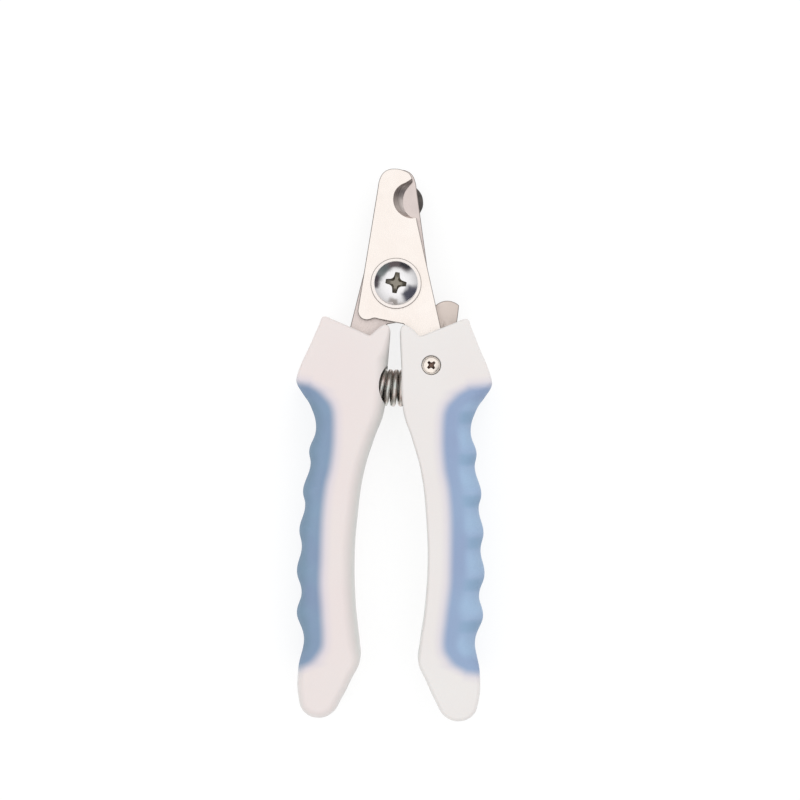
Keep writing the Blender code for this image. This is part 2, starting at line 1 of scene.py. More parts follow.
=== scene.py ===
"""Looks of the pet nail trimmer: fine meshes, procedural materials, floor, light and camera.

Outlines are in millimetres about the pivot screw, for the right-hand side (x > 0), as in the CAD
model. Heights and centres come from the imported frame.
"""

import json
import math

import bmesh
import bpy
import numpy as np
from mathutils import Matrix, Vector

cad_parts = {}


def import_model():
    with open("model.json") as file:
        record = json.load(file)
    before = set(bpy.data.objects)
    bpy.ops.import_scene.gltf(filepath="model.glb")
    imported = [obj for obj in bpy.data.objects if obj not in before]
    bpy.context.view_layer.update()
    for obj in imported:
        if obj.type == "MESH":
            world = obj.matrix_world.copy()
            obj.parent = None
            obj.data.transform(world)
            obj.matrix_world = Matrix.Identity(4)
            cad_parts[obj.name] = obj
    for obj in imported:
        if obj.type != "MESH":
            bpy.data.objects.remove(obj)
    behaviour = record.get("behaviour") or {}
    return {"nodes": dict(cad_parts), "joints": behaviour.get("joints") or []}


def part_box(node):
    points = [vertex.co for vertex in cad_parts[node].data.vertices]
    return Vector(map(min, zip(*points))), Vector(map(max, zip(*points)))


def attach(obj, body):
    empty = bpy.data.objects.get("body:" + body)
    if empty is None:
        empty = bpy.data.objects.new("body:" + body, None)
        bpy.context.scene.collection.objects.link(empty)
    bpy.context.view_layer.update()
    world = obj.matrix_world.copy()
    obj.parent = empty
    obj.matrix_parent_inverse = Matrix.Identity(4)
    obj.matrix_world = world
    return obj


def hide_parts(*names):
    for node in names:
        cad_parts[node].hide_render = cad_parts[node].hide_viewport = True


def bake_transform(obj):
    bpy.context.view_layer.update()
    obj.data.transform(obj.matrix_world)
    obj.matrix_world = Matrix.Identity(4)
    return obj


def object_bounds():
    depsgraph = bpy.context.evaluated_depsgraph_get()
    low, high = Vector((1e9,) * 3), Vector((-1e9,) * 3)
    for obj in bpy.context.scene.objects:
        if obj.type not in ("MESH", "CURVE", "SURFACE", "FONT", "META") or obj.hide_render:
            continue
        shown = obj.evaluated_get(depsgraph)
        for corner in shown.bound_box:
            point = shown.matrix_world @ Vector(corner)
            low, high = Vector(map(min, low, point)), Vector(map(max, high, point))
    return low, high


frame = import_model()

CAD_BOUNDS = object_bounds()

MM = 0.001
JOINTS = {joint["name"]: joint for joint in frame["joints"]}
PIVOT = Vector(JOINTS["blade_pivot"]["pos_m"])
LOCK = Vector(JOINTS["lock_pivot"]["pos_m"])
LOCK_AT = ((LOCK.x - PIVOT.x) / MM, (LOCK.y - PIVOT.y) / MM)

BLADE_LEAN = math.radians(0.3)  # both blades are turned this far about the pivot

# Sizes in mm
GAP = 0.3  # clearance between neighbouring pieces
LEFT_GRIP_SHIFT = 2.5  # the left grip is narrower than the right one by this much
PIVOT_AXIS = (0.0, 0.0)
BORE_R = 2.8  # the bore of each piece on the pivot screw
LOCK_HOLE_R = 1.25  # the bore of each piece on the small screw, but for the lever's
EDGE_R = 0.22  # rounding of the blades' and the lever's edges
LEVER_T = 1.6
NUT_FLATS = 8.0
LOCK_NUT_FLATS = 4.0
SPRING_ARC_R = 23.7  # the closed spring bends round the pivot at this radius
MOUTH_AT = (3.35, -23.2)  # middle of the round opening of the left spring pocket
MOUTH_R = 6.8
MOUTH_BELOW = 3.0  # how far below the handle's middle the opening reaches
THROUGH_Z = (-20.0, 40.0)  # levels clear of the whole tool, for cuts right through it


def heights(node):
    """The lowest and highest level of a CAD node, in mm."""
    low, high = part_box(node)
    return low.z / MM, high.z / MM


HANDLE_Z = heights("left_handle")
FRONT_Z = heights("front_blade")
REAR_Z = heights("rear_blade")
LEVER_Z = heights("lock_lever")
HANDLE_MID = (HANDLE_Z[0] + HANDLE_Z[1]) / 2

# Outlines: (x, y) is a point on a smooth stretch and (x, y, "c") a corner
BLADE_OUTLINE = [
    (-4.5, 21.1, "c"), (-8.5, -5.5, "c"), (-8.55, -6.7), (-7.97, -7.8), (-6.9, -8.33),
    (-5.83, -8.25), (-4.77, -7.92), (-3.8, -8.14), (1.9, -9.15, "c"), (6.3, -17.0, "c"),
    (6.5, -19.4, "c"), (8.5, -23.5, "c"), (8.7, -39.0, "c"), (10.5, -39.0, "c"), (10.9, -26.0, "c"),
    (11.7, -16.0, "c"), (10.34, -10.06, "c"), (4.58, 14.25, "c"), (3.4, 23.85, "c"), (2.75, 25.0),
    (1.3, 25.75), (-0.65, 26.07), (-2.2, 25.8), (-3.4, 24.9), (-4.1, 23.4),
]

HANDLE_INNER = [
    (1.15, -12.0, "c"), (1.5, -17.4, "c"), (2.3, -29.4), (4.25, -35.0), (6.6, -43.2), (7.95, -54.0),
    (8.4, -63.0), (7.95, -73.5), (6.85, -82.5),
]
HANDLE_END = [
    (6.6, -85.5), (8.4, -89.6), (10.7, -94.3), (12.6, -97.3), (15.8, -98.5), (19.1, -97.1),
    (20.3, -94.0), (20.5, -87.5),
]
GRIP_EDGE = [  # the outer side, from below the last swell up to the widest corner
    (19.43, -80.4), (21.1, -75.0), (20.1, -70.3), (21.3, -65.6), (20.25, -60.0), (20.9, -56.2),
    (19.65, -50.7), (20.2, -47.3), (18.6, -41.3), (18.95, -38.2), (17.55, -33.4), (18.9, -28.1),
    (20.7, -25.3), (22.05, -22.6),
]
HANDLE_TOP = [
    (21.95, -21.6), (18.75, -13.65, "c"), (16.85, -9.1, "c"), (16.45, -8.05), (15.6, -7.9),
    (14.5, -8.35, "c"), (5.6, -12.05, "c"), (2.85, -9.7), (1.9, -9.5), (1.25, -10.3),
]
GRIP_SEAM = [  # the edge of the blue grip on the faces, from the widest corner down
    (17.2, -23.3), (14.0, -25.6), (11.7, -29.4), (11.5, -34.4), (12.0, -41.2), (13.1, -46.5),
    (13.75, -54.0), (13.85, -65.5), (13.0, -75.0), (12.5, -80.8), (14.0, -84.6), (17.7, -87.3),
]
GRIP_ENDS_Y = (-22.2, -88.4)  # where the lines from the seam's two ends reach GRIP_FAR_X
GRIP_FAR_X = 26.0  # clear outside the widest corner

GUARD_OUTLINE = [
    (4.8, 0.0), (2.6, 4.6), (2.5, 10.0), (5.0, 16.1), (5.9, 18.7), (4.6, 21.95), (1.35, 23.25),
    (-1.9, 21.95), (-3.2, 18.7), (-2.6, 15.5), (-2.1, 10.0), (-2.6, 4.6), (-4.8, 0.0), (-3.4, -3.4),
    (0.0, -4.8), (3.4, -3.4),
]
LEVER_OUTLINE = [
    (9.05, -4.62, "c"), (10.3, -3.82), (11.84, -3.48), (13.4, -3.8), (14.54, -4.47, "c"),
    (14.15, -8.1, "c"), (12.9, -12.8), (10.9, -17.2), (11.0, -19.5), (8.27, -21.35), (5.37, -18.45),
    (6.3, -15.6), (7.2, -12.0), (7.75, -8.6, "c"), (9.3, -7.2, "c"),
]
LEVER_SLOT = [
    (15.4, -2.0, "c"), (15.0, -8.3, "c"), (13.6, -13.4), (11.75, -17.8), (10.9, -20.3),
    (8.27, -21.75), (5.75, -20.6), (4.9, -18.3), (4.6, -15.0), (5.2, -12.6, "c"), (5.8, -9.0, "c"),
    (5.8, -2.0, "c"),
]
TOOTH_OUTLINE = [
    (7.77, -8.48, "c"), (8.62, -8.3, "c"), (9.95, -7.9, "c"), (11.2, -8.4, "c"), (10.6, -10.6, "c"),
    (7.9, -10.2, "c"),
]

NOTCH_EDGE = [  # the notch where the blades slide; its left side is the cutting edge
    (9.0, 27.5, "c"), (4.7, 24.7), (3.48, 23.22), (2.5, 22.1), (1.79, 21.04), (1.38, 19.8),
    (1.29, 18.65), (1.5, 17.4), (2.15, 16.2), (3.19, 15.3), (4.45, 14.9), (6.0, 14.9),
    (9.0, 15.0, "c"),
]
NOTCH_RIM = [  # the hollow-ground bevel's rim in the outer face, point for point
    (9.0, 28.5, "c"), (4.6, 25.1), (3.34, 23.95), (1.96, 22.98), (0.6, 22.25), (-0.45, 21.05),
    (-0.87, 19.2), (-0.5, 17.4), (0.8, 15.8), (2.76, 14.87), (4.45, 14.88), (6.0, 14.95),
    (9.0, 15.2, "c"),
]
NOTCH_CENTRE = (4.6, 19.4)  # the grinding lines of the bevel run round this point
NOTCH_RADIUS = 3.3


# ---------------------------------------------------------------------------------------- outlines


def signed_area(points):
    """The area inside an outline, above zero if it runs counter-clockwise."""
    ahead = np.roll(points, -1, axis=0)
    return (points[:, 0] * ahead[:, 1] - points[:, 1] * ahead[:, 0]).sum() / 2


def bezier_loop(outline, per_segment):
    """A closed smooth outline as points, with each point's place along the list of controls."""
    controls = np.array([point[:2] for point in outline], float)
    smooth = np.array([len(point) == 2 for point in outline])[:, None]
    back = controls - np.roll(controls, 1, axis=0)
    ahead = np.roll(controls, -1, axis=0) - controls
    back_length = np.linalg.norm(back, axis=1, keepdims=True)
    ahead_length = np.linalg.norm(ahead, axis=1, keepdims=True)
    tangent = back / back_length + ahead / ahead_length
    tangent /= np.linalg.norm(tangent, axis=1, keepdims=True)
    reach = 1 / 2.5614  # the share of a segment that makes a smooth handle nearest to a circle
    leaving = np.where(smooth, controls + tangent * ahead_length * reach, controls + ahead / 3)
    coming = np.where(smooth, controls - tangent * back_length * reach, controls - back / 3)
    points = []
    places = []
    for i in range(len(outline)):
        j = (i + 1) % len(outline)
        for step in range(per_segment):
            t = step / per_segment
            weights = ((1 - t) ** 3, 3 * t * (1 - t) ** 2, 3 * t * t * (1 - t), t**3)
            knots = (controls[i], leaving[i], coming[j], controls[j])
            points.append(sum(w * k for w, k in zip(weights, knots)))
            places.append(i + t)
    points, places = np.array(points), np.array(places)
    if signed_area(points) < 0:
        return points[::-1].copy(), places[::-1].copy()
    return points, places


def evenly(points, places, step, last_place):
    """The same closed line with points at even steps along it."""
    closed = np.vstack([points, points[:1]])
    along = np.concatenate([[0], np.cumsum(np.linalg.norm(np.diff(closed, axis=0), axis=1))])
    count = int(round(along[-1] / step))
    at = np.arange(count) * along[-1] / count
    ends = np.append(places, last_place)
    return (
        np.column_stack([np.interp(at, along, closed[:, 0]), np.interp(at, along, closed[:, 1])]),
        np.interp(at, along, ends),
    )


def softened(values, spread):
    """A closed row of values or points, smoothed over spread steps each way."""
    reach = int(3 * spread) + 1
    weights = np.exp(-0.5 * (np.arange(-reach, reach + 1) / spread) ** 2)
    weights /= weights.sum()
    columns = values.reshape(len(values), -1)
    padded = np.vstack([columns[-reach:], columns, columns[:reach]])
    smooth = [np.convolve(padded[:, i], weights, "valid") for i in range(columns.shape[1])]
    return np.column_stack(smooth).reshape(values.shape)


def fine_loop(outline, step, spread):
    """A smooth outline as even points, a little softened, with each one's place along the controls."""
    points, places = bezier_loop(outline, 12)
    points, places = evenly(points, places, step, len(outline))
    return softened(points, spread), places


def inward(points):
    """The unit direction into a counter-clockwise outline at each of its points."""
    along = np.roll(points, -1, axis=0) - np.roll(points, 1, axis=0)
    along /= np.linalg.norm(along, axis=1, keepdims=True)
    return np.column_stack([-along[:, 1], along[:, 0]])


def room_inside(points):
    """The radius of the largest circle inside the outline that touches it at each point."""
    apart = points[None, :, :] - points[:, None, :]
    depth = (apart * inward(points)[:, None, :]).sum(axis=2)
    span = (apart**2).sum(axis=2)
    radius = np.where(depth > 1e-6, span / np.maximum(2 * depth, 1e-6), 60.0)
    return np.minimum(radius.min(axis=1), 60.0)


def flipped(points):
    """The outline on the left-hand side, still counter-clockwise."""
    return (points * np.array([-1.0, 1.0]))[::-1].copy()


def leaned(points):
    """Turned about the pivot by the blades' lean."""
    cos, sin = math.cos(BLADE_LEAN), math.sin(BLADE_LEAN)
    return points @ np.array([[cos, sin], [-sin, cos]])


def blade_loop(side):
    """The outline of a blade and its tang on one side, leaning as both blades do."""
    points, _ = fine_loop(BLADE_OUTLINE, 0.25, 0.6)
    return leaned(flipped(points) if side < 0 else points)


def grown(points, distance):
    """The outline moved outwards by distance."""
    return points - inward(points) * distance


# ------------------------------------------------------------------------------------------ meshes


def placed(name, data):
    """A new object in the scene."""
    obj = bpy.data.objects.new(name, data)
    bpy.context.scene.collection.objects.link(obj)
    return obj


def add_mesh(name, verts, faces, centre=PIVOT_AXIS):
    """An object from points in mm about the pivot axis, or about an upright axis at centre."""
    mesh = bpy.data.meshes.new(name)
    place = np.array([PIVOT.x + centre[0] * MM, PIVOT.y + centre[1] * MM, 0.0])
    mesh.from_pydata((np.asarray(verts, float) * MM + place).tolist(), [], faces)
    mesh.validate()
    return placed(name, mesh)


def stacked(name, rings, centre=PIVOT_AXIS):
    """A closed solid through rings of points, from the top one down, with flat ends."""
    count = len(rings[0])
    verts = np.vstack(rings)
    faces = [list(range(count))]
    for level in range(len(rings) - 1):
        top, low = level * count, (level + 1) * count
        for i in range(count):
            j = (i + 1) % count
            faces.append([top + i, low + i, low + j, top + j])
    last = (len(rings) - 1) * count
    faces.append([last + i for i in reversed(range(count))])
    return add_mesh(name, verts, faces, centre)


def level_ring(points, z):
    return np.column_stack([points, np.full(len(points), z)])


def slab(name, points, z_low, z_high, front, back, steps=3, ridge=0.0):
    """A flat solid with rounded long edges.

    front and back are each (inset, depth) of the rounding, as numbers or one for each point.
    ridge is how far a fine parting line stands out half way up.
    """
    into = inward(points)
    rings = []
    for step in range(steps + 1):
        angle = step / steps * math.pi / 2
        inset = np.broadcast_to(front[0] * (1 - math.sin(angle)), len(points))[:, None]
        drop = np.broadcast_to(front[1] * (1 - math.cos(angle)), len(points))
        rings.append(np.column_stack([points + into * inset, z_high - drop]))
    if ridge:
        middle = (z_low + z_high) / 2
        for offset, out in ((2.5 * ridge, 0.0), (0.0, ridge), (-2.5 * ridge, 0.0)):
            rings.append(level_ring(points - into * out, middle + offset))
    for step in range(steps, -1, -1):
        angle = step / steps * math.pi / 2
        inset = np.broadcast_to(back[0] * (1 - math.sin(angle)), len(points))[:, None]
        rise = np.broadcast_to(back[1] * (1 - math.cos(angle)), len(points))
        rings.append(np.column_stack([points + into * inset, z_low + rise]))
    return stacked(name, rings)


def turned(name, profile, centre=PIVOT_AXIS, steps=96, ring=False, thread=None):
    """A turned solid from (radius, height) pairs that run down its outer side.

    A ring's profile closes on itself, and any other begins and ends on the axis. thread is
    (lowest level, highest level, pitch, depth) of a screw thread cut into the shank.
    """
    angles = np.arange(steps) / steps * 2 * math.pi
    profile = np.array(profile, float)
    verts = []
    rows = []
    for radius, z in profile:
        if radius < 1e-9:
            rows.append([len(verts)] * steps)
            verts.append((0.0, 0.0, z))
            continue
        radii = np.full(steps, radius)
        if thread and thread[0] <= z <= thread[1]:
            phase = (z / thread[2] - angles / (2 * math.pi)) % 1.0
            fade = min(1.0, (z - thread[0]) / thread[2], (thread[1] - z) / thread[2])
            radii = radii - thread[3] * fade * (1 - abs(2 * phase - 1))
        rows.append(list(range(len(verts), len(verts) + steps)))
        verts += [(r * math.cos(a), r * math.sin(a), z) for r, a in zip(radii, angles)]
    faces = []
    count = len(rows)
    for level in range(count if ring else count - 1):
        top, low = rows[level], rows[(level + 1) % count]
        for i in range(steps):
            j = (i + 1) % steps
            corners = [top[i], low[i], low[j], top[j]]
            face = [c for k, c in enumerate(corners) if c not in corners[:k]]
            if len(face) > 2:
                faces.append(face)
    return add_mesh(name, verts, faces, centre)


def ring_profile(r_out, r_in, z_low, z_high, chamfer, steps=3):
    """The closed profile of a flat washer with rounded corners."""
    corners = [
        (r_out - chamfer, z_high - chamfer, 90),
        (r_out - chamfer, z_low + chamfer, 0),
        (r_in + chamfer, z_low + chamfer, -90),
        (r_in + chamfer, z_high - chamfer, -180),
    ]
    profile = []
    for r, z, start in corners:
        for step in range(steps + 1):
            angle = math.radians(start - 90 * step / steps)
            profile.append((r + chamfer * math.cos(angle), z + chamfer * math.sin(angle)))
    return profile


def carve(obj, cutters, operation="DIFFERENCE", keep=False):
    """Cuts obj with the cutters, for good, and removes them unless they're to be kept.

    Cut faces take the cutter's material.
    """
    for cutter in cutters:
        modifier = obj.modifiers.new(cutter.name, "BOOLEAN")
        modifier.operation = operation
        modifier.object = cutter
        modifier.solver = "EXACT"
        modifier.material_mode = "TRANSFER"
    graph = bpy.context.evaluated_depsgraph_get()
    graph.update()
    mesh = bpy.data.meshes.new_from_object(obj.evaluated_get(graph))
    obj.modifiers.clear()
    old = obj.data
    obj.data = mesh
    bpy.data.meshes.remove(old)
    mesh.name = obj.name
    if not keep:
        for cutter in cutters:
            bpy.data.objects.remove(cutter)


def cylinder(radius, z_low, z_high, centre):
    profile = [(0, z_high), (radius, z_high), (radius, z_low), (0, z_low)]
    return turned("drill", profile, centre)


def smooth(obj, angle=30):
    """Smooth shading, with edges sharper than angle left sharp and flat faces kept flat."""
    obj.data.shade_smooth()
    obj.data.set_sharp_from_angle(angle=math.radians(angle))
    normals = obj.modifiers.new("flat_faces", "WEIGHTED_NORMAL")
    normals.keep_sharp = True


def finished(obj, material, body, node, angle=30):
    """Gives a piece its material and ties it to its CAD body and the node that it replaces."""
    smooth(obj, angle)
    if not [m for m in obj.data.materials if m]:
        obj.data.materials.clear()
        obj.data.materials.append(material)
    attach(obj, body)
    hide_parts(node)


# --------------------------------------------------------------------------------------- materials


class Nodes:
    """A node tree, with short calls that add nodes to it."""

    def __init__(self, tree):
        self.tree = tree

    def node(self, kind, **settings):
        made = self.tree.nodes.new(kind)
        for key, value in settings.items():
            setattr(made, key, value)
        return made

    def feed(self, socket, value):
        if isinstance(value, bpy.types.NodeSocket):
            self.tree.links.new(value, socket)
        else:
            socket.default_value = value

    def vector(self, operation, *values):
        made = self.node("ShaderNodeVectorMath", operation=operation)
        for socket, value in zip(made.inputs, values):
            self.feed(socket, value)
        return made.outputs[0]

    def math(self, operation, *values, clamp=False):
        made = self.node("ShaderNodeMath", operation=operation, use_clamp=clamp)
        for socket, value in zip(made.inputs, values):
            self.feed(socket, value)
        return made.outputs[0]

    def axes(self, vector):
        made = self.node("ShaderNodeSeparateXYZ")
        self.feed(made.inputs[0], vector)
        return made.outputs

    def ranged(self, value, from_low, from_high, to_low, to_high, smooth=False):
        made = self.node("ShaderNodeMapRange", clamp=True)
        if smooth:
            made.interpolation_type = "SMOOTHSTEP"
        for socket, number in zip(made.inputs, (value, from_low, from_high, to_low, to_high)):
            self.feed(socket, number)
        return made.outputs[0]

    def mixed(self, share, first, second):
        """A mix of two colours."""
        made = self.node("ShaderNodeMix", data_type="RGBA")
        self.feed(made.inputs["Factor"], share)
        colours = [s for s in made.inputs if s.type == "RGBA"]
        for socket, value in zip(colours, (first, second)):
            self.feed(socket, value)
        return [s for s in made.outputs if s.type == "RGBA"][0]


class Shader(Nodes):
    """A material's node tree. Positions are in mm."""

    def __init__(self, name):
        self.material = bpy.data.materials.new(name)
        self.material.use_nodes = True
        super().__init__(self.material.node_tree)
        self.surface = self.tree.nodes["Principled BSDF"]
        place = self.node("ShaderNodeTexCoord").outputs["Object"]
        self.place = self.vector("MULTIPLY", place, (1 / MM,) * 3)
        self.x, self.y, self.z = self.axes(self.place)

    def noise(self, scale, detail=2.0, stretch=(1, 1, 1), roughness=0.5, place=None):
        """Noise of about 1/scale mm grain, from 0 to 1."""
        made = self.node("ShaderNodeTexNoise")
        self.feed(made.inputs["Vector"], self.vector("MULTIPLY", place or self.place, stretch))
        made.inputs["Scale"].default_value = scale
        made.inputs["Detail"].default_value = detail
        made.inputs["Roughness"].default_value = roughness
        return made.outputs["Fac"]

    def off_level(self, level):
        """How far above or below a level a point lies."""
        return self.math("ABSOLUTE", self.math("SUBTRACT", self.z, level))

    def rim(self, levels, most):
        """A share of 0 on a plate's faces and most from a set small depth below them on: the mask of the
        painted shade and painted reflection on a plate's edges.
        """
        half = (levels[1] - levels[0]) / 2
        return self.ranged(self.off_level((levels[0] + levels[1]) / 2), half - RIM_SHADE_DEPTH, half, most, 0.0)

    def bump(self, height, strength, depth):
        """A bump of depth mm."""
        made = self.node("ShaderNodeBump")
        made.inputs["Strength"].default_value = strength
        made.inputs["Distance"].default_value = depth * MM
        self.feed(made.inputs["Height"], height)
        self.feed(self.surface.inputs["Normal"], made.outputs[0])

    def set(self, **values):
        for key, value in values.items():
            self.feed(self.surface.inputs[key.replace("_", " ")], value)


def rgb(red, green, blue):
    """A colour from 8-bit sRGB numbers, as linear RGBA."""
    linear = [((c / 255 + 0.055) / 1.055) ** 2.4 for c in (red, green, blue)]
    return (*linear, 1.0)


RIM_SHADE_DEPTH = 0.04  # how far below a plate's faces, in mm, its rounded edges are wholly darkened by painted shade
# mostly painted shade and painted reflection at plate edges, partly the darker sheared steel
RIM_SHADE = rgb(112, 101, 96)
WHITES = {  # each handle's white, in its warmer and its cooler places
    "left": (rgb(230, 217, 216), rgb(229, 223, 220)),
    "right": (rgb(227, 219, 217), rgb(231, 229, 227)),
}
BLUES = {  # each grip's blue, in its greyer and its brighter places, and at its outer side, painted lighter on the right grip and darker on the left as painted light and shade
    "left": (rgb(131, 149, 178), rgb(132, 157, 182), rgb(124, 150, 172)),
    "right": (rgb(145, 162, 194), rgb(148, 170, 200), rgb(160, 186, 214)),
}
FACET_PAINTED_LIGHT = {"left": 0.0, "right": 1.0}  # how plainly the outer side's painted light and shade change from swell to swell
SWELL_PITCH = 9.4  # mm between two hollows of the grip's outer side
SWELL_START = -81.8  # where the painted light on a swell is at its lightest, from the pivot
HOLLOW_SHADE = rgb(118, 156, 182)  # the painted shade above each hollow
EDGE_SHADE = {"left": 0.3, "right": 0.14}  # how much the blue darkens away from the face
FRINGE = rgb(208, 202, 214)  # the white's tinge beside the grip
WHITE_SIDE_SHADE = rgb(206, 213, 210)  # painted shade on the white away from the face, greyer and darker
FADE_SHIFT = {"left": 1.8, "right": -0.45}  # how far out the middle of the colour's fade lies, in mm
FADE_DRIFT = {"left": 0.6, "right": 0.0}  # how much further out it lies at the grip's lower end
DRIFT_Y = (-80.0, -62.0)  # where that drift is whole and where it begins
SEAM_OVERRUN = 1.3  # how much further out than its ends the seam's curve lies at GRIP_ENDS_Y
SEAM_REACH = 0.6  # the seam's slope is taken over this much each way


def seam_distance(shader, side, shift, drift):
    """How far, in mm, a point lies on the blue side of the grip's seam."""
    y = shader.math("SUBTRACT", shader.y, PIVOT.y / MM)
    across = shader.math("MULTIPLY_ADD", shader.x, float(side), -shift)
    across = shader.math("SUBTRACT", across, shader.ranged(y, *DRIFT_Y, drift, 0.0))
    top, low = GRIP_SEAM[0], GRIP_SEAM[-1]
    first, last = ((end[0] + SEAM_OVERRUN, at) for end, at in zip((top, low), GRIP_ENDS_Y))
    seam = [first, *GRIP_SEAM, last]
    y_low, y_span = seam[-1][1], seam[0][1] - seam[-1][1]

    def seam_x(at):
        made = shader.node("ShaderNodeFloatCurve")
        curve = made.mapping.curves[0]
        knots = sorted(((py - y_low) / y_span, px / GRIP_FAR_X) for px, py in seam)
        while len(curve.points) < len(knots):
            curve.points.new(0.5, 0.5)
        for point, (t, value) in zip(curve.points, knots):
            point.location = (t, value)
            point.handle_type = "AUTO_CLAMPED"
        made.mapping.update()
        share = shader.ranged(at, y_low, y_low + y_span, 0.0, 1.0)
        shader.feed(made.inputs["Value"], share)
        return shader.math("MULTIPLY", made.outputs[0], GRIP_FAR_X)

    def past_end(corner, end_y, way):
        lean = (end_y - corner[1]) / (GRIP_FAR_X - corner[0])
        line = shader.math("MULTIPLY_ADD", across, lean, corner[1] - lean * corner[0])
        return shader.math("MULTIPLY", shader.math("SUBTRACT", line, y), way)

    here = seam_x(y)
    above = seam_x(shader.math("ADD", y, SEAM_REACH))
    below = seam_x(shader.math("SUBTRACT", y, SEAM_REACH))
    slope = shader.math("MULTIPLY", shader.math("SUBTRACT", above, below), 0.5 / SEAM_REACH)
    length = shader.math("SQRT", shader.math("MULTIPLY_ADD", slope, slope, 1.0))
    away = shader.math("DIVIDE", shader.math("SUBTRACT", across, here), length)
    ends = shader.math("MINIMUM", past_end(top, GRIP_ENDS_Y[0], 1.0), past_end(low, GRIP_ENDS_Y[1], -1.0))
    return shader.math("MINIMUM", away, ends)


def moulding(name, side, label):
    """White moulded plastic that fades into the soft blue grip across their seam."""
    s = Shader(name)
    seam = seam_distance(s, side, FADE_SHIFT[label], FADE_DRIFT[label])
    blue = s.ranged(seam, -1.2, 1.2, 0.0, 1.0, smooth=True)
    clouds = s.noise(0.05, 1.0)
    white = s.mixed(clouds, *WHITES[label])
    speckle = s.noise(3.0, 3.0)
    white = s.mixed(s.ranged(speckle, 0.35, 0.7, 0.0, 0.05), white, rgb(205, 196, 190))
    white = s.mixed(s.ranged(seam, -2.6, -0.4, 0.0, 0.55, smooth=True), white, FRINGE)
    tide = s.noise(0.11, 2.0)
    # The third blue is painted light and shade at the outer side. On the right grip it changes from swell
    # to swell: painted light on each swell, teal painted shade above each hollow.
    greyer, brighter, outer = BLUES[label]
    tint = s.mixed(s.ranged(tide, 0.3, 0.7, 0.1, 0.9), greyer, brighter)
    turn = 2 * math.pi / SWELL_PITCH
    swell = s.math("COSINE", s.math("MULTIPLY_ADD", s.y, turn, -turn * (PIVOT.y / MM + SWELL_START)))
    outside = s.ranged(s.math("MULTIPLY_ADD", tide, 2.0, seam), 3.2, 5.6, 0.0, 1.0, smooth=True)
    facet = s.ranged(swell, -1.0, 1.0, 0.9 - 0.6 * FACET_PAINTED_LIGHT[label], 0.9)
    tint = s.mixed(s.math("MULTIPLY", outside, facet), tint, outer)
    hollow = s.ranged(swell, -1.0, -0.3, 0.4 * FACET_PAINTED_LIGHT[label], 0.0, smooth=True)
    tint = s.mixed(s.math("MULTIPLY", outside, hollow), tint, HOLLOW_SHADE)
    tint = s.mixed(s.ranged(speckle, 0.4, 0.75, 0.0, 0.1), tint, rgb(116, 138, 166))
    # Painted shade: the blue and the white darken away from the face, on the rounded sides.
    off_middle = s.off_level(HANDLE_MID)
    tint = s.mixed(s.ranged(off_middle, 3.5, 6.7, EDGE_SHADE[label], 0.0), tint, rgb(92, 116, 146))
    white = s.mixed(s.ranged(off_middle, 4.0, 6.9, 0.6, 0.0), white, WHITE_SIDE_SHADE)
    s.set(Base_Color=s.mixed(blue, white, tint))
    satin = s.ranged(s.noise(0.6, 3.0), 0.3, 0.7, 0.34, 0.44)
    matt = s.ranged(s.noise(0.8, 3.0), 0.3, 0.7, 0.52, 0.64)
    rough = s.node("ShaderNodeMix", data_type="FLOAT")
    for socket, value in (("Factor", blue), ("A", satin), ("B", matt)):
        s.feed(rough.inputs[socket], value)
    s.set(Roughness=rough.outputs[0], Specular_IOR_Level=0.3)
    s.set(Subsurface_Weight=0.08, Subsurface_Radius=(0.0012, 0.001, 0.0009), Subsurface_Scale=1.0)
    grain = s.math("MULTIPLY_ADD", s.noise(7.0, 2.0), 0.6, s.noise(1.1, 2.0))
    s.bump(grain, 0.25, 0.02)
    return s.material


def steel(name, colour, roughness, worn, levels, angle=0.0):
    """Sheet steel with fine drawn lines, faint stains, small scratches and edges darkened by painted
    shade and painted reflection.
    """
    s = Shader(name)
    place = s.place
    if angle:
        turn = s.node("ShaderNodeVectorRotate", rotation_type="Z_AXIS")
        s.feed(turn.inputs["Vector"], place)
        turn.inputs["Angle"].default_value = angle
        place = turn.outputs[0]
    lines = s.noise(1.0, 3.0, (14, 0.6, 14), 0.6, place)
    clouds = s.noise(0.16, 2.0)
    tone = s.mixed(s.ranged(clouds, 0.3, 0.7, 0.0, 1.0), colour, worn)
    shade = tuple(c * 0.7 for c in colour[:3]) + (1,)
    tone = s.mixed(s.ranged(lines, 0.35, 0.65, 0.0, 0.08), tone, shade)
    # Painted shade and painted reflection darken the rounded edges.
    s.set(Base_Color=s.mixed(s.rim(levels, 0.85), tone, RIM_SHADE), Metallic=1.0)
    streak = s.ranged(lines, 0.3, 0.7, roughness - 0.06, roughness + 0.08)
    s.set(Roughness=s.math("ADD", streak, s.ranged(clouds, 0.3, 0.7, -0.03, 0.05)))
    scratch = s.noise(1.0, 1.0, (30, 1.2, 30), 0.4, place)
    height = s.math("ADD", lines, s.ranged(scratch, 0.66, 0.74, 0.0, 0.8))
    s.bump(height, 0.08, 0.01)
    return s.material


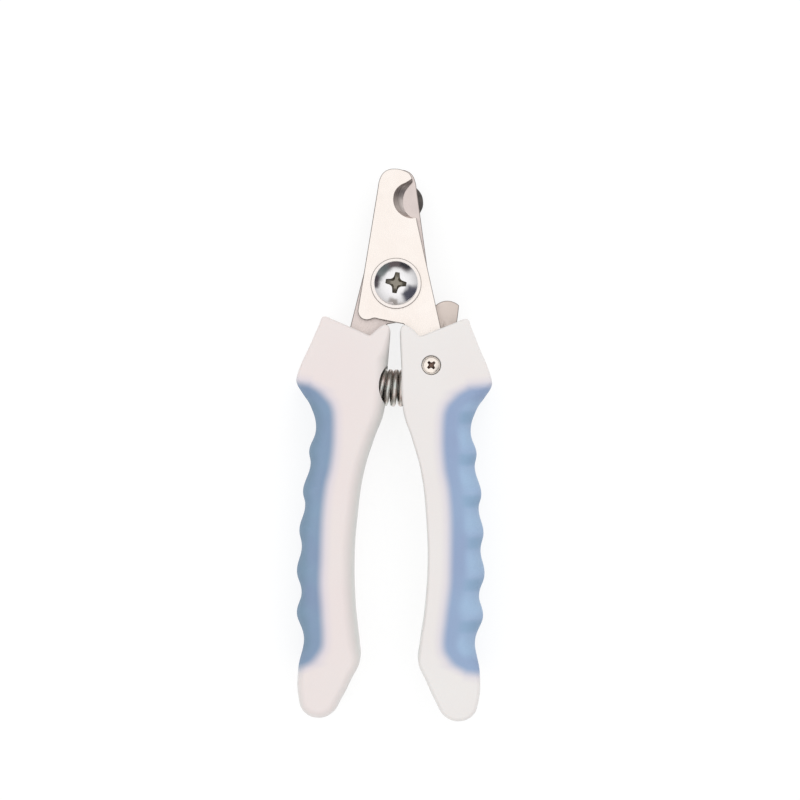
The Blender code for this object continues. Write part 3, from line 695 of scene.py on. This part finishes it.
def ground_steel(name, dark, light, side):
    """The hollow-ground bevel, with fine lines round the notch: darker at its outer rim and towards its
    top, as a painted reflection of dark surroundings.
    """
    s = Shader(name)
    dx = s.math("SUBTRACT", s.math("MULTIPLY", s.x, float(side)), NOTCH_CENTRE[0])
    dy = s.math("SUBTRACT", s.y, PIVOT.y / MM + NOTCH_CENTRE[1])
    away = s.math("SQRT", s.math("ADD", s.math("MULTIPLY", dx, dx), s.math("MULTIPLY", dy, dy)))
    spot = s.node("ShaderNodeCombineXYZ")
    s.feed(spot.inputs[0], s.math("MULTIPLY", away, 9.0))
    s.feed(spot.inputs[1], s.z)
    lines = s.noise(1.0, place=spot.outputs[0])
    # Painted reflection: darker towards the bevel's outer rim and its top.
    low = s.ranged(dy, -4.0, 3.6, -0.35, 0.5)
    share = s.math("ADD", s.ranged(away, NOTCH_RADIUS, NOTCH_RADIUS + 2.2, 0.25, 0.85), low)
    share = s.math("ADD", share, s.ranged(lines, 0.3, 0.7, -0.22, 0.22), clamp=True)
    s.set(Base_Color=s.mixed(share, light, dark), Metallic=1.0)
    s.set(Roughness=s.ranged(lines, 0.3, 0.7, 0.3, 0.48))
    s.bump(lines, 0.2, 0.01)
    return s.material


def plated(name, colour, roughness, levels=None):
    """Plated metal: almost even, with specks and rubbed places, and edges darkened by painted shade if it
    is a plate.
    """
    s = Shader(name)
    rub = s.noise(0.9, 3.0)
    fine = s.noise(6.0, 2.0)
    dull = tuple(c * 0.8 for c in colour[:3]) + (1.0,)
    tone = s.mixed(s.ranged(fine, 0.4, 0.75, 0.0, 0.35), colour, dull)
    if levels:
        # Painted shade darkens a plate's rounded edges.
        tone = s.mixed(s.rim(levels, 0.8), tone, RIM_SHADE)
    s.set(Base_Color=tone, Metallic=1.0)
    s.set(Roughness=s.ranged(rub, 0.3, 0.75, roughness * 0.75, roughness * 1.6))
    s.bump(s.math("ADD", rub, s.math("MULTIPLY", fine, 0.3)), 0.08, 0.01)
    return s.material


def recess_steel(name, dark, light):
    """The inside of a cross recess: duller than the plated head, and darker as painted shade in the
    recess.
    """
    s = Shader(name)
    grit = s.noise(5.0, 3.0)
    # Painted shade: the recess is coloured darker than the head.
    s.set(Base_Color=s.mixed(grit, dark, light), Metallic=1.0)
    s.set(Roughness=s.ranged(grit, 0.3, 0.7, 0.3, 0.5))
    s.bump(grit, 0.3, 0.03)
    return s.material


def blackened(name):
    """Dark blackened steel, rubbed a little lighter in patches."""
    s = Shader(name)
    rub = s.noise(0.7, 4.0)
    lines = s.noise(1.0, 3.0, (10, 0.8, 10))
    tone = s.mixed(s.ranged(rub, 0.35, 0.75, 0.0, 1.0), rgb(78, 74, 72), rgb(112, 106, 103))
    s.set(Base_Color=tone, Metallic=0.7)
    s.set(Roughness=s.ranged(rub, 0.3, 0.7, 0.38, 0.55))
    s.bump(s.math("ADD", lines, rub), 0.15, 0.015)
    return s.material


def drawn_wire(name):
    """Spring wire: dark drawn steel with lines along the wire and warm and cool tints."""
    s = Shader(name)
    tint = s.noise(0.35, 2.0)
    lines = s.noise(2.2, 3.0)
    tone = s.mixed(s.ranged(tint, 0.35, 0.65, 0.0, 1.0), rgb(218, 200, 193), rgb(202, 206, 201))
    tone = s.mixed(s.ranged(lines, 0.45, 0.7, 0.0, 0.25), tone, rgb(150, 134, 126))
    s.set(Base_Color=tone, Metallic=1.0)
    s.set(Roughness=s.ranged(lines, 0.3, 0.7, 0.16, 0.26))
    s.bump(lines, 0.06, 0.01)
    return s.material


# ------------------------------------------------------------------------------------------ pieces


def drill_holes(obj, *holes):
    """Upright through holes, each (radius, centre)."""
    carve(obj, [cylinder(radius, *THROUGH_Z, centre) for radius, centre in holes])


def notch_cutter(side, face, thickness, material):
    """The room of the hollow-ground notch, lofted from the cutting edge to the bevel's rim."""
    edge, _ = bezier_loop(NOTCH_EDGE, 14)
    rim, _ = bezier_loop(NOTCH_RIM, 14)
    rings = []
    for share in (1.35, 1.0, 0.75, 0.5, 0.25, 0.0, -0.4):
        held = max(share, 0.0)
        bow = 0.3 * held * (1 - min(held, 1.0))  # the wheel leaves the bevel a little hollow
        points = edge + (rim - edge) * (held + bow)
        if side < 0:
            points = flipped(points)
        rings.append(level_ring(leaned(points), face + side * thickness * share))
    if side < 0:
        rings.reverse()
    cutter = stacked("notch_cutter", rings)
    cutter.data.materials.append(material)
    return cutter


def blade(node, side, levels, face, body, material):
    """A blade with rounded edges, its bores and its hollow-ground notch."""
    obj = slab(f"{node}_ground", blade_loop(side), *levels, (EDGE_R, EDGE_R), (EDGE_R, EDGE_R))
    obj.data.materials.append(material)
    drill_holes(obj, (BORE_R, PIVOT_AXIS), (LOCK_HOLE_R, (side * LOCK_AT[0], LOCK_AT[1])))
    bevel = ground_steel(f"{node}_bevel", rgb(143, 131, 126), rgb(250, 240, 234), side)
    carve(obj, [notch_cutter(side, face, levels[1] - levels[0], bevel)])
    finished(obj, material, body, node)


# Rounding of a handle's long edges at its inner side, end, grip side and top
CRISP = (0.6, 1.0, 3.8, 0.6)
SOFT = (3.2, 2.2, 3.8, 0.7)
ROUNDING_DEPTH = 1.35  # the rounding's depth over its inset
DEEPEST_ROUNDING = 6.2
SWELL_ROUNDING = 0.8  # how much further in the rounding reaches at a swell than at its sides


def rounding(points, places, inner, end, outer, top):
    """The inset at each point from one value for each of the handle's four sides."""
    counts = [len(HANDLE_INNER), len(HANDLE_END), len(GRIP_EDGE), len(HANDLE_TOP)]
    edges = np.cumsum(counts)
    values = np.select(
        [places < edges[0] - 0.5, places < edges[1] - 0.7, places < edges[2] - 1.6],
        [inner, end, outer],
        top,
    )
    # the nose's inner corner belongs to the inner side
    values = np.where(places > edges[3] - 2.0, inner, values)
    first, last = edges[1], edges[1] + 10  # the five swells and the hollows between them
    swell = np.where((places > first) & (places < last), -np.cos(math.pi * (places - first)), 0.0)
    values = softened(values.astype(float), 6) + SWELL_ROUNDING * softened(swell, 2)
    limit = room_inside(points)
    limit = np.min([np.roll(limit, shift) for shift in range(-4, 5)], axis=0)
    return softened(np.minimum(values, 0.75 * limit), 1.5)


def handle_body(name, side, crisp_front):
    """The whole handle before its grip is parted off: one face is crisp and the other rounder."""
    outline = HANDLE_INNER + HANDLE_END + GRIP_EDGE + HANDLE_TOP
    points, places = fine_loop(outline, 0.3, 0.8)
    crisp = rounding(points, places, *CRISP)
    soft = rounding(points, places, *SOFT)
    if side < 0:
        points = flipped(points)
        crisp = crisp[::-1]
        soft = soft[::-1]
    insets = (crisp, soft) if crisp_front else (soft, crisp)
    front, back = ((inset, np.minimum(ROUNDING_DEPTH * inset, DEEPEST_ROUNDING)) for inset in insets)
    return slab(name, points, *HANDLE_Z, front, back, steps=9, ridge=0.04)


def seam_cutter(side, shift):
    """Everything outside the grip's seam, through the whole thickness."""
    outline = [(GRIP_FAR_X, GRIP_ENDS_Y[0], "c")]
    outline += [(x + shift, y) for x, y in GRIP_SEAM]
    outline += [(GRIP_FAR_X, GRIP_ENDS_Y[1], "c")]
    points, _ = bezier_loop(outline, 8)
    if side < 0:
        points = flipped(points)
    low, high = THROUGH_Z
    return stacked("seam_cutter", [level_ring(points, high), level_ring(points, low)])


def pocket_cutter(side):
    """The room of a spring end with its peg, opening out at the mouth."""
    radius, length, peg_r, peg_length = 4.7, 12.0, 2.6, 2.4
    profile = [(0, length), (radius, length), (radius, 0), (peg_r + 0.2, 0), (peg_r, 0.2)]
    profile += [(peg_r, peg_length - 0.5), (peg_r - 0.5, peg_length), (0, peg_length)]
    cutter = turned("pocket_cutter", profile, PIVOT_AXIS, 72)
    middle_angle, end_angle = math.radians(9.0), math.radians(14.0)
    along = Vector((math.cos(middle_angle), math.sin(middle_angle), 0.0))
    middle = SPRING_ARC_R * Vector((math.sin(middle_angle), -math.cos(middle_angle), 0.0))
    deepest = middle + along * (SPRING_ARC_R * (end_angle - middle_angle))
    mouth = Vector((-side * along.x, -along.y, 0.0))
    cutter.data.transform(Matrix.Translation((-PIVOT.x, -PIVOT.y, 0.0)))
    cutter.rotation_euler = mouth.to_track_quat("Z", "Y").to_euler()
    cutter.location = (PIVOT.x + side * deepest.x * MM, PIVOT.y + deepest.y * MM, HANDLE_MID * MM)
    bpy.context.view_layer.update()
    return cutter


def tang_cutter(side, levels):
    """The slot that a blade's tang sits in."""
    points = grown(blade_loop(side), GAP)
    rings = [level_ring(points, levels[1] + GAP), level_ring(points, levels[0] - GAP)]
    return stacked("tang_cutter", rings)


def hexagon(flats):
    corner = flats / math.sqrt(3)
    angles = np.arange(6) / 6 * 2 * math.pi
    return np.column_stack([corner * np.cos(angles), corner * np.sin(angles)])


def lock_cutters():
    """The right handle's lever slot, screw hole, screw seat and nut pocket."""
    points, _ = bezier_loop(LEVER_SLOT, 8)
    slide = (FRONT_Z[0] + REAR_Z[1]) / 2
    slot = stacked("lever_slot", [level_ring(points, slide), level_ring(points, LEVER_Z[0] - GAP)])
    hole = cylinder(LOCK_HOLE_R, *THROUGH_Z, LOCK_AT)
    seat_z, seat_r, lip = 12.2, 2.2, 0.12
    top = HANDLE_Z[1]
    profile = [(0, top + 5), (seat_r + lip + 5, top + 5), (seat_r + lip, top), (seat_r, top - lip)]
    profile += [(seat_r, seat_z), (0, seat_z)]
    seat = turned("screw_seat", profile, LOCK_AT)
    corners = hexagon(LOCK_NUT_FLATS + 2 * GAP)
    nut_z = 2.1
    rings = [level_ring(corners, nut_z), level_ring(corners, THROUGH_Z[0])]
    pocket = stacked("nut_pocket", rings, LOCK_AT)
    return [slot, hole, seat, pocket]


def handle_pair(side, label, levels, shift, crisp_front, body):
    """A handle moulding and its soft grip, parted along the seam."""
    white = handle_body(f"{label}_handle_moulding", side, crisp_front)
    blue = placed(f"{label}_grip_overmould", white.data.copy())
    cutter = seam_cutter(side, shift)
    carve(white, [cutter], keep=True)
    carve(blue, [cutter], "INTERSECT")
    cutters = [tang_cutter(side, levels), pocket_cutter(side)]
    if side > 0:
        cutters += lock_cutters()
    else:
        cutters.append(cylinder(MOUTH_R, HANDLE_MID - MOUTH_BELOW, THROUGH_Z[1], MOUTH_AT))
    carve(white, cutters)
    for obj, look, slot, node in (
        (white, "white_plastic", "white_plastic", f"{label}_handle"),
        (blue, "blue_elastomer", "blue_grip", f"{label}_grip"),
    ):
        finished(obj, moulding(f"{label}_{look}", side, label), body, node, angle=38)


def cross_outline(span, width, fillet, steps=5):
    """A plus-shaped outline with filleted inner corners and blunt arm ends."""
    half, arm = width / 2, span / 2
    quarter = [(arm, -half * 0.8), (arm, half * 0.8)]
    middle = half + fillet
    for step in range(steps + 1):
        angle = math.radians(270 - 90 * step / steps)
        quarter.append((middle + fillet * math.cos(angle), middle + fillet * math.sin(angle)))
    points = []
    for turn in range(4):
        cos, sin = math.cos(turn * math.pi / 2), math.sin(turn * math.pi / 2)
        points += [(x * cos - y * sin, x * sin + y * cos) for x, y in quarter]
    return np.array(points)


def recess_cutter(top, depth, span, width, fillet, turn, material, centre=PIVOT_AXIS):
    """A cross recess that narrows towards its floor."""
    cos, sin = math.cos(turn), math.sin(turn)
    spin = np.array([[cos, sin], [-sin, cos]])
    rings = []
    for share, taper in ((-0.5, 1.15), (0.0, 1.0), (0.5, 0.76), (0.8, 0.55), (1.0, 0.3)):
        points = cross_outline(span * taper, width * (0.5 + 0.5 * taper), fillet * taper)
        rings.append(level_ring(points @ spin, top - depth * share))
    cutter = stacked("recess_cutter", rings, centre)
    cutter.data.materials.append(material)
    return cutter


def domed_profile(radius, seat, height, rim, steps=16):
    """A head with a spherical crown down to its seat, and a small round at the rim."""
    crown, edge = height - rim, radius - 0.12
    ball = (edge**2 + crown**2) / (2 * crown)
    widest = math.asin(edge / ball)
    profile = [(0.0, seat + height)]
    for step in range(1, steps + 1):
        angle = step / steps * widest
        profile.append((ball * math.sin(angle), seat + height - ball * (1 - math.cos(angle))))
    profile += [(radius - 0.03, seat + rim - 0.08), (radius, seat + rim - 0.2)]
    profile += [(radius, seat + 0.15), (radius - 0.05, seat + 0.04), (radius - 0.15, seat)]
    return profile


def shank(radius, top, low, thread_top, pitch):
    """The profile of a screw's shank with points close enough together for its thread."""
    levels = np.arange(thread_top, low + 0.35, -pitch / 8)
    return [(radius, top)] + [(radius, z) for z in levels] + [(radius * 0.82, low), (0.0, low)]


def pivot_screw(chrome, recess):
    low, crown = heights("pivot_bolt")
    height, rim = 2.4, 0.7
    seat = crown - height
    profile = domed_profile(4.98, seat, height, rim)
    profile += shank(2.5, seat, low, low + 4.0, 0.8)
    thread = (low + 0.3, low + 4.0, 0.8, 0.35)
    obj = turned("pivot_screw_polished", profile, PIVOT_AXIS, 128, thread=thread)
    obj.data.materials.append(chrome)
    cutter = recess_cutter(crown + 0.05, 1.5, 5.5, 1.3, 1.05, math.radians(-8), recess)
    carve(obj, [cutter])
    finished(obj, chrome, "right_arm", "pivot_bolt", angle=35)


def lock_screw(bright, recess):
    low, crown = heights("lock_screw")
    height = 1.0
    seat = crown - height
    profile = domed_profile(1.85, seat, height, 0.68, 12)
    profile += shank(0.95, seat, low, low + 2.5, 0.4)
    thread = (low + 0.3, low + 2.5, 0.4, 0.16)
    obj = turned("lock_screw_fine", profile, LOCK_AT, 72, thread=thread)
    obj.data.materials.append(bright)
    cutter = recess_cutter(crown, 0.7, 2.3, 0.7, 0.25, math.radians(42), recess, LOCK_AT)
    carve(obj, [cutter])
    finished(obj, bright, "right_arm", "lock_screw", angle=35)


def hex_nut(node, flats, bore, centre, material):
    """A hex nut with its corners turned off on both faces and a chamfered bore."""
    low, high = heights(node)
    rings = [level_ring(hexagon(flats), high), level_ring(hexagon(flats), low)]
    obj = stacked(f"{node}_fine", rings, centre)
    corner = flats / math.sqrt(3)
    cone = (corner - flats / 2) * 0.75
    face_r, past_corners = flats / 2 * 0.97, corner * 1.02
    profile = [(0, high), (face_r, high), (past_corners, high - cone)]
    profile += [(past_corners, low + cone), (face_r, low), (0, low)]
    carve(obj, [turned("nut_blank", profile, centre)], "INTERSECT")
    lip = 0.25
    profile = [(0, high + 3), (bore + lip + 3, high + 3), (bore + lip, high), (bore, high - lip)]
    profile += [(bore, low + lip), (bore + lip, low), (bore + lip + 3, low - 3), (0, low - 3)]
    carve(obj, [turned("nut_bore", profile, centre)])
    finished(obj, material, "right_arm", node)


def washer(node, r_out, r_in, centre, chamfer, material):
    """A flat washer or a sleeve, chamfered."""
    low, high = heights(node)
    profile = ring_profile(r_out, r_in, low, high, chamfer)
    obj = turned(f"{node}_fine", profile, centre, 128, ring=True)
    finished(obj, material, "right_arm", node)


def cone_washer(material):
    """The coned spring washer, its rim lower than its bore."""
    low, high = heights("pivot_spring_washer")
    bore = BORE_R
    profile = [(4.6, low + 0.3), (4.55, low + 0.02), (4.5, low)]
    profile += [(bore, high - 0.3), (bore, high - 0.03), (bore + 0.04, high), (4.57, low + 0.31)]
    obj = turned("spring_washer_fine", profile, PIVOT_AXIS, 128, ring=True)
    finished(obj, material, "right_arm", "pivot_spring_washer")


def guard(material):
    """The claw guard, with softly rounded edges."""
    points, _ = fine_loop(GUARD_OUTLINE, 0.25, 1.0)
    obj = slab("claw_guard_plate", points, *heights("quick_guard"), (0.2, 0.2), (0.2, 0.2), steps=4)
    drill_holes(obj, (BORE_R, PIVOT_AXIS))
    finished(obj, material, "quick_guard", "quick_guard")


def lever(levels, material):
    """The lock lever: a plate with a thumb tab and an upright tooth, its edges rounded."""
    plate, tooth = (fine_loop(outline, 0.2, 0.8)[0] for outline in (LEVER_OUTLINE, TOOTH_OUTLINE))
    obj = slab("lock_lever_fine", plate, *levels, (EDGE_R, EDGE_R), (EDGE_R, EDGE_R))
    foot = (levels[0] + levels[1]) / 2
    carve(obj, [slab("tooth", tooth, foot, LEVER_Z[1], (0.12, 0.12), (0.05, 0.05), steps=2)], "UNION")
    sleeve_bore = 2.05
    drill_holes(obj, (sleeve_bore, LOCK_AT))
    finished(obj, material, "lock_lever", "lock_lever")


def spring(material):
    """The return spring: one smooth coil of round wire, bent round the pivot."""
    half_angle, turns, coil_r, wire_r = math.radians(11.6), 6.25, 3.7, 0.6
    per_turn, sides = 48, 16
    count = int(turns * per_turn)
    share = np.arange(count + 1) / count
    bend = half_angle * (2 * share - 1)
    turn = 2 * math.pi * turns * share
    radius = SPRING_ARC_R + coil_r * np.cos(turn)
    line = np.column_stack(
        [radius * np.sin(bend), -radius * np.cos(bend), HANDLE_MID + coil_r * np.sin(turn)]
    )
    along = np.gradient(line, axis=0)
    along /= np.linalg.norm(along, axis=1, keepdims=True)
    axis = np.column_stack([np.cos(bend), np.sin(bend), np.zeros(count + 1)])
    side = np.cross(along, axis)
    side /= np.linalg.norm(side, axis=1, keepdims=True)
    other = np.cross(side, along)
    angles = np.arange(sides) / sides * 2 * math.pi
    rings = []
    for i in range(count + 1):
        spokes = np.outer(np.cos(angles), side[i]) + np.outer(np.sin(angles), other[i])
        rings.append(line[i] + wire_r * spokes)
    ends = [0.35, 0.75, 0.95]
    first = [line[0] + (rings[0] - line[0]) * s - along[0] * wire_r * 0.3 * (1 - s) for s in ends]
    last = [line[-1] + (rings[-1] - line[-1]) * s + along[-1] * wire_r * 0.3 * (1 - s) for s in ends]
    obj = stacked("return_spring_wire", first + rings + last[::-1])
    bm = bmesh.new()
    bm.from_mesh(obj.data)
    bmesh.ops.recalc_face_normals(bm, faces=bm.faces)
    bm.to_mesh(obj.data)
    bm.free()
    smooth(obj, 60)
    obj.data.materials.append(material)
    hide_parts("return_spring")
    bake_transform(obj)


def repaint(node, material):
    """A CAD node that keeps its shape gets a finished material."""
    obj = frame["nodes"][node]
    obj.data.materials.clear()
    obj.data.materials.append(material)


# ------------------------------------------------------------------------------------------- stage


def floor():
    """A plain pale floor under the tool, lit through from below like a light table."""
    size = 3.0
    mesh = bpy.data.meshes.new("floor")
    corners = [(-size, -size, 0), (size, -size, 0), (size, size, 0), (-size, size, 0)]
    mesh.from_pydata(corners, [], [(0, 1, 2, 3)])
    obj = placed("floor", mesh)
    obj.location.z = CAD_BOUNDS[0].z - 0.0002
    material = bpy.data.materials.new("floor_white")
    material.use_nodes = True
    surface = material.node_tree.nodes["Principled BSDF"]
    surface.inputs["Base Color"].default_value = (0.24, 0.24, 0.24, 1)
    surface.inputs["Roughness"].default_value = 0.9
    surface.inputs["Specular IOR Level"].default_value = 0.1
    surface.inputs["Emission Color"].default_value = (1, 1, 1, 1)
    surface.inputs["Emission Strength"].default_value = 0.78
    mesh.materials.append(material)


HORIZON = 0.62  # the studio's brightness at the level of the floor, and overhead
ZENITH = 1.12
STUDIO_GAPS = (  # middle bearing and half width in degrees, lowest and highest level, darkness, tint
    (96, 46, 0.02, 0.58, 0.95, (0.10, 0.075, 0.08)),
    (142, 26, 0.04, 0.64, 0.85, (0.14, 0.17, 0.17)),
    (172, 18, 0.02, 0.52, 0.95, (0.06, 0.05, 0.06)),
    (64, 16, 0.02, 0.46, 0.9, (0.03, 0.032, 0.04)),
    (-33, 27, 0.12, 0.80, 0.96, (0.05, 0.052, 0.08)),
    (-100, 13, 0.18, 0.64, 0.72, (0.22, 0.18, 0.15)),
)
LOW_BAND = (0.16, 0.05)  # below the first level the gloss sees dark walls, whole below the second
LOW_BAND_FOOT = (-0.25, -0.1)  # and no more of them further down, where a floor would be
LOW_TONE = (0.09, 0.085, 0.09)


def world():
    """A white studio, brighter overhead, with dark walls and gaps that only gloss shows."""
    made = bpy.data.worlds.new("studio")
    bpy.context.scene.world = made
    made.use_nodes = True
    made.node_tree.nodes.clear()
    n = Nodes(made.node_tree)
    direction = n.node("ShaderNodeTexCoord").outputs["Generated"]
    x, y, z = n.axes(direction)
    warp = n.node("ShaderNodeTexNoise")
    n.feed(warp.inputs["Vector"], direction)
    warp.inputs["Scale"].default_value = 2.6
    warp.inputs["Detail"].default_value = 1.5
    wander = n.math("MULTIPLY_ADD", warp.outputs["Fac"], 0.24, -0.12)
    level = n.math("ADD", z, wander)
    flat = n.math("SQRT", n.math("MULTIPLY_ADD", x, x, n.math("MULTIPLY", y, y)))

    def rise(value, start, stop, most=1.0):
        return n.ranged(value, start, stop, 0.0, most, smooth=True)

    sky = n.mixed(rise(z, 0.0, 1.0), (*[HORIZON] * 3, 1), (*[ZENITH] * 3, 1))
    glossy = sky
    for bearing, half, low, high, dark, tint in STUDIO_GAPS:
        towards = math.radians(bearing)
        along = n.math("MULTIPLY_ADD", x, math.cos(towards), n.math("MULTIPLY", y, math.sin(towards)))
        along = n.math("ADD", n.math("DIVIDE", along, flat), n.math("MULTIPLY", wander, 0.3))
        edge, core = (math.cos(math.radians(half + turn)) for turn in (0.4 * half, -0.4 * half))
        near = n.math("MULTIPLY", rise(along, edge, core, dark), rise(level, low - 0.04, low + 0.06))
        near = n.math("MULTIPLY", near, rise(level, high + 0.09, high - 0.11))
        glossy = n.mixed(near, glossy, (*tint, 1))
    walls = n.math("MULTIPLY", rise(z, *LOW_BAND), rise(z, *LOW_BAND_FOOT))
    glossy = n.mixed(walls, glossy, (*LOW_TONE, 1))
    paths = n.node("ShaderNodeLightPath")
    lit = n.mixed(paths.outputs["Is Glossy Ray"], sky, glossy)
    seen = n.mixed(paths.outputs["Is Camera Ray"], lit, (1, 1, 1, 1))
    back = n.node("ShaderNodeBackground")
    n.feed(back.inputs["Color"], seen)
    n.feed(n.node("ShaderNodeOutputWorld").inputs["Surface"], back.outputs[0])


def soft_light(name, place, power):
    """A square softbox that looks at the middle of the tool."""
    data = bpy.data.lights.new(name, "AREA")
    data.size = 0.5
    data.energy = power
    obj = placed(name, data)
    obj.location = place
    obj.rotation_euler = (-Vector(place)).to_track_quat("-Z", "Y").to_euler()
    obj.visible_glossy = False


def camera():
    """Straight above the tool, turned a degree, as far away as a product camera stands."""
    data = bpy.data.cameras.new("camera")
    data.lens = 89.4
    data.clip_start = 0.01
    obj = placed("camera", data)
    obj.location = (0.00139, 0.00977, 0.46)
    obj.rotation_euler = (0, 0, math.radians(1.05))
    bpy.context.scene.camera = obj


def build():
    """Every piece, from the blades outwards."""
    front_steel = steel("front_blade_steel", rgb(244, 236, 230), 0.24, rgb(241, 231, 224), FRONT_Z)
    # The rear blade's steel is darker than the front's, partly for a duller finish and partly as painted
    # shade behind the front blade.
    rear_steel = steel("rear_blade_steel", rgb(220, 207, 202), 0.3, rgb(211, 199, 195), REAR_Z, 0.4)
    blade("front_blade", 1, FRONT_Z, FRONT_Z[0], "right_arm", front_steel)
    blade("rear_blade", -1, REAR_Z, REAR_Z[1], "left_arm", rear_steel)

    handle_pair(1, "right", FRONT_Z, 0.0, True, "right_arm")
    handle_pair(-1, "left", REAR_Z, LEFT_GRIP_SHIFT, False, "left_arm")

    zinc = plated("zinc_plate", rgb(240, 232, 224), 0.22)
    dull_zinc = plated("nut_zinc", rgb(206, 204, 200), 0.28)
    washer_zinc = plated("washer_zinc", rgb(240, 232, 227), 0.16, heights("pivot_washer"))
    recess = recess_steel("pivot_recess_steel", rgb(116, 111, 101), rgb(172, 165, 153))
    pivot_screw(plated("pivot_chrome", rgb(240, 238, 239), 0.11), recess)
    recess = recess_steel("lock_recess_steel", rgb(96, 76, 68), rgb(136, 112, 100))
    lock_screw(plated("screw_zinc", rgb(250, 240, 230), 0.3), recess)
    washer("pivot_washer", 5.75, BORE_R, PIVOT_AXIS, 0.2, washer_zinc)
    washer("lock_washer", 2.1, LOCK_HOLE_R, LOCK_AT, 0.08, zinc)
    washer("guard_washer", 4.8, BORE_R, PIVOT_AXIS, 0.1, zinc)
    washer("lock_sleeve", 1.75, LOCK_HOLE_R, LOCK_AT, 0.1, zinc)
    hex_nut("pivot_nut", NUT_FLATS, BORE_R, PIVOT_AXIS, dull_zinc)
    hex_nut("lock_nut", LOCK_NUT_FLATS, LOCK_HOLE_R, LOCK_AT, dull_zinc)
    cone_washer(plated("washer_spring_steel", rgb(150, 146, 142), 0.3))
    repaint("lock_wave_washer", plated("wave_washer_steel", rgb(150, 146, 142), 0.3))
    guard(blackened("guard_black_steel"))
    # The lever's steel is darker than the front blade's, partly for its finish and partly as painted
    # shade under the blades.
    plate = (LEVER_Z[0], LEVER_Z[0] + LEVER_T)
    lever(plate, steel("lever_steel", rgb(218, 205, 197), 0.34, rgb(209, 196, 188), plate))
    spring(drawn_wire("spring_wire"))


build()
floor()
world()
soft_light("key_softbox", (0.2, 0.8, 0.6), 1.6)
soft_light("fill_softbox", (-0.7, -0.45, 0.45), 0.5)
camera()
bpy.context.scene.view_settings.view_transform = "Standard"
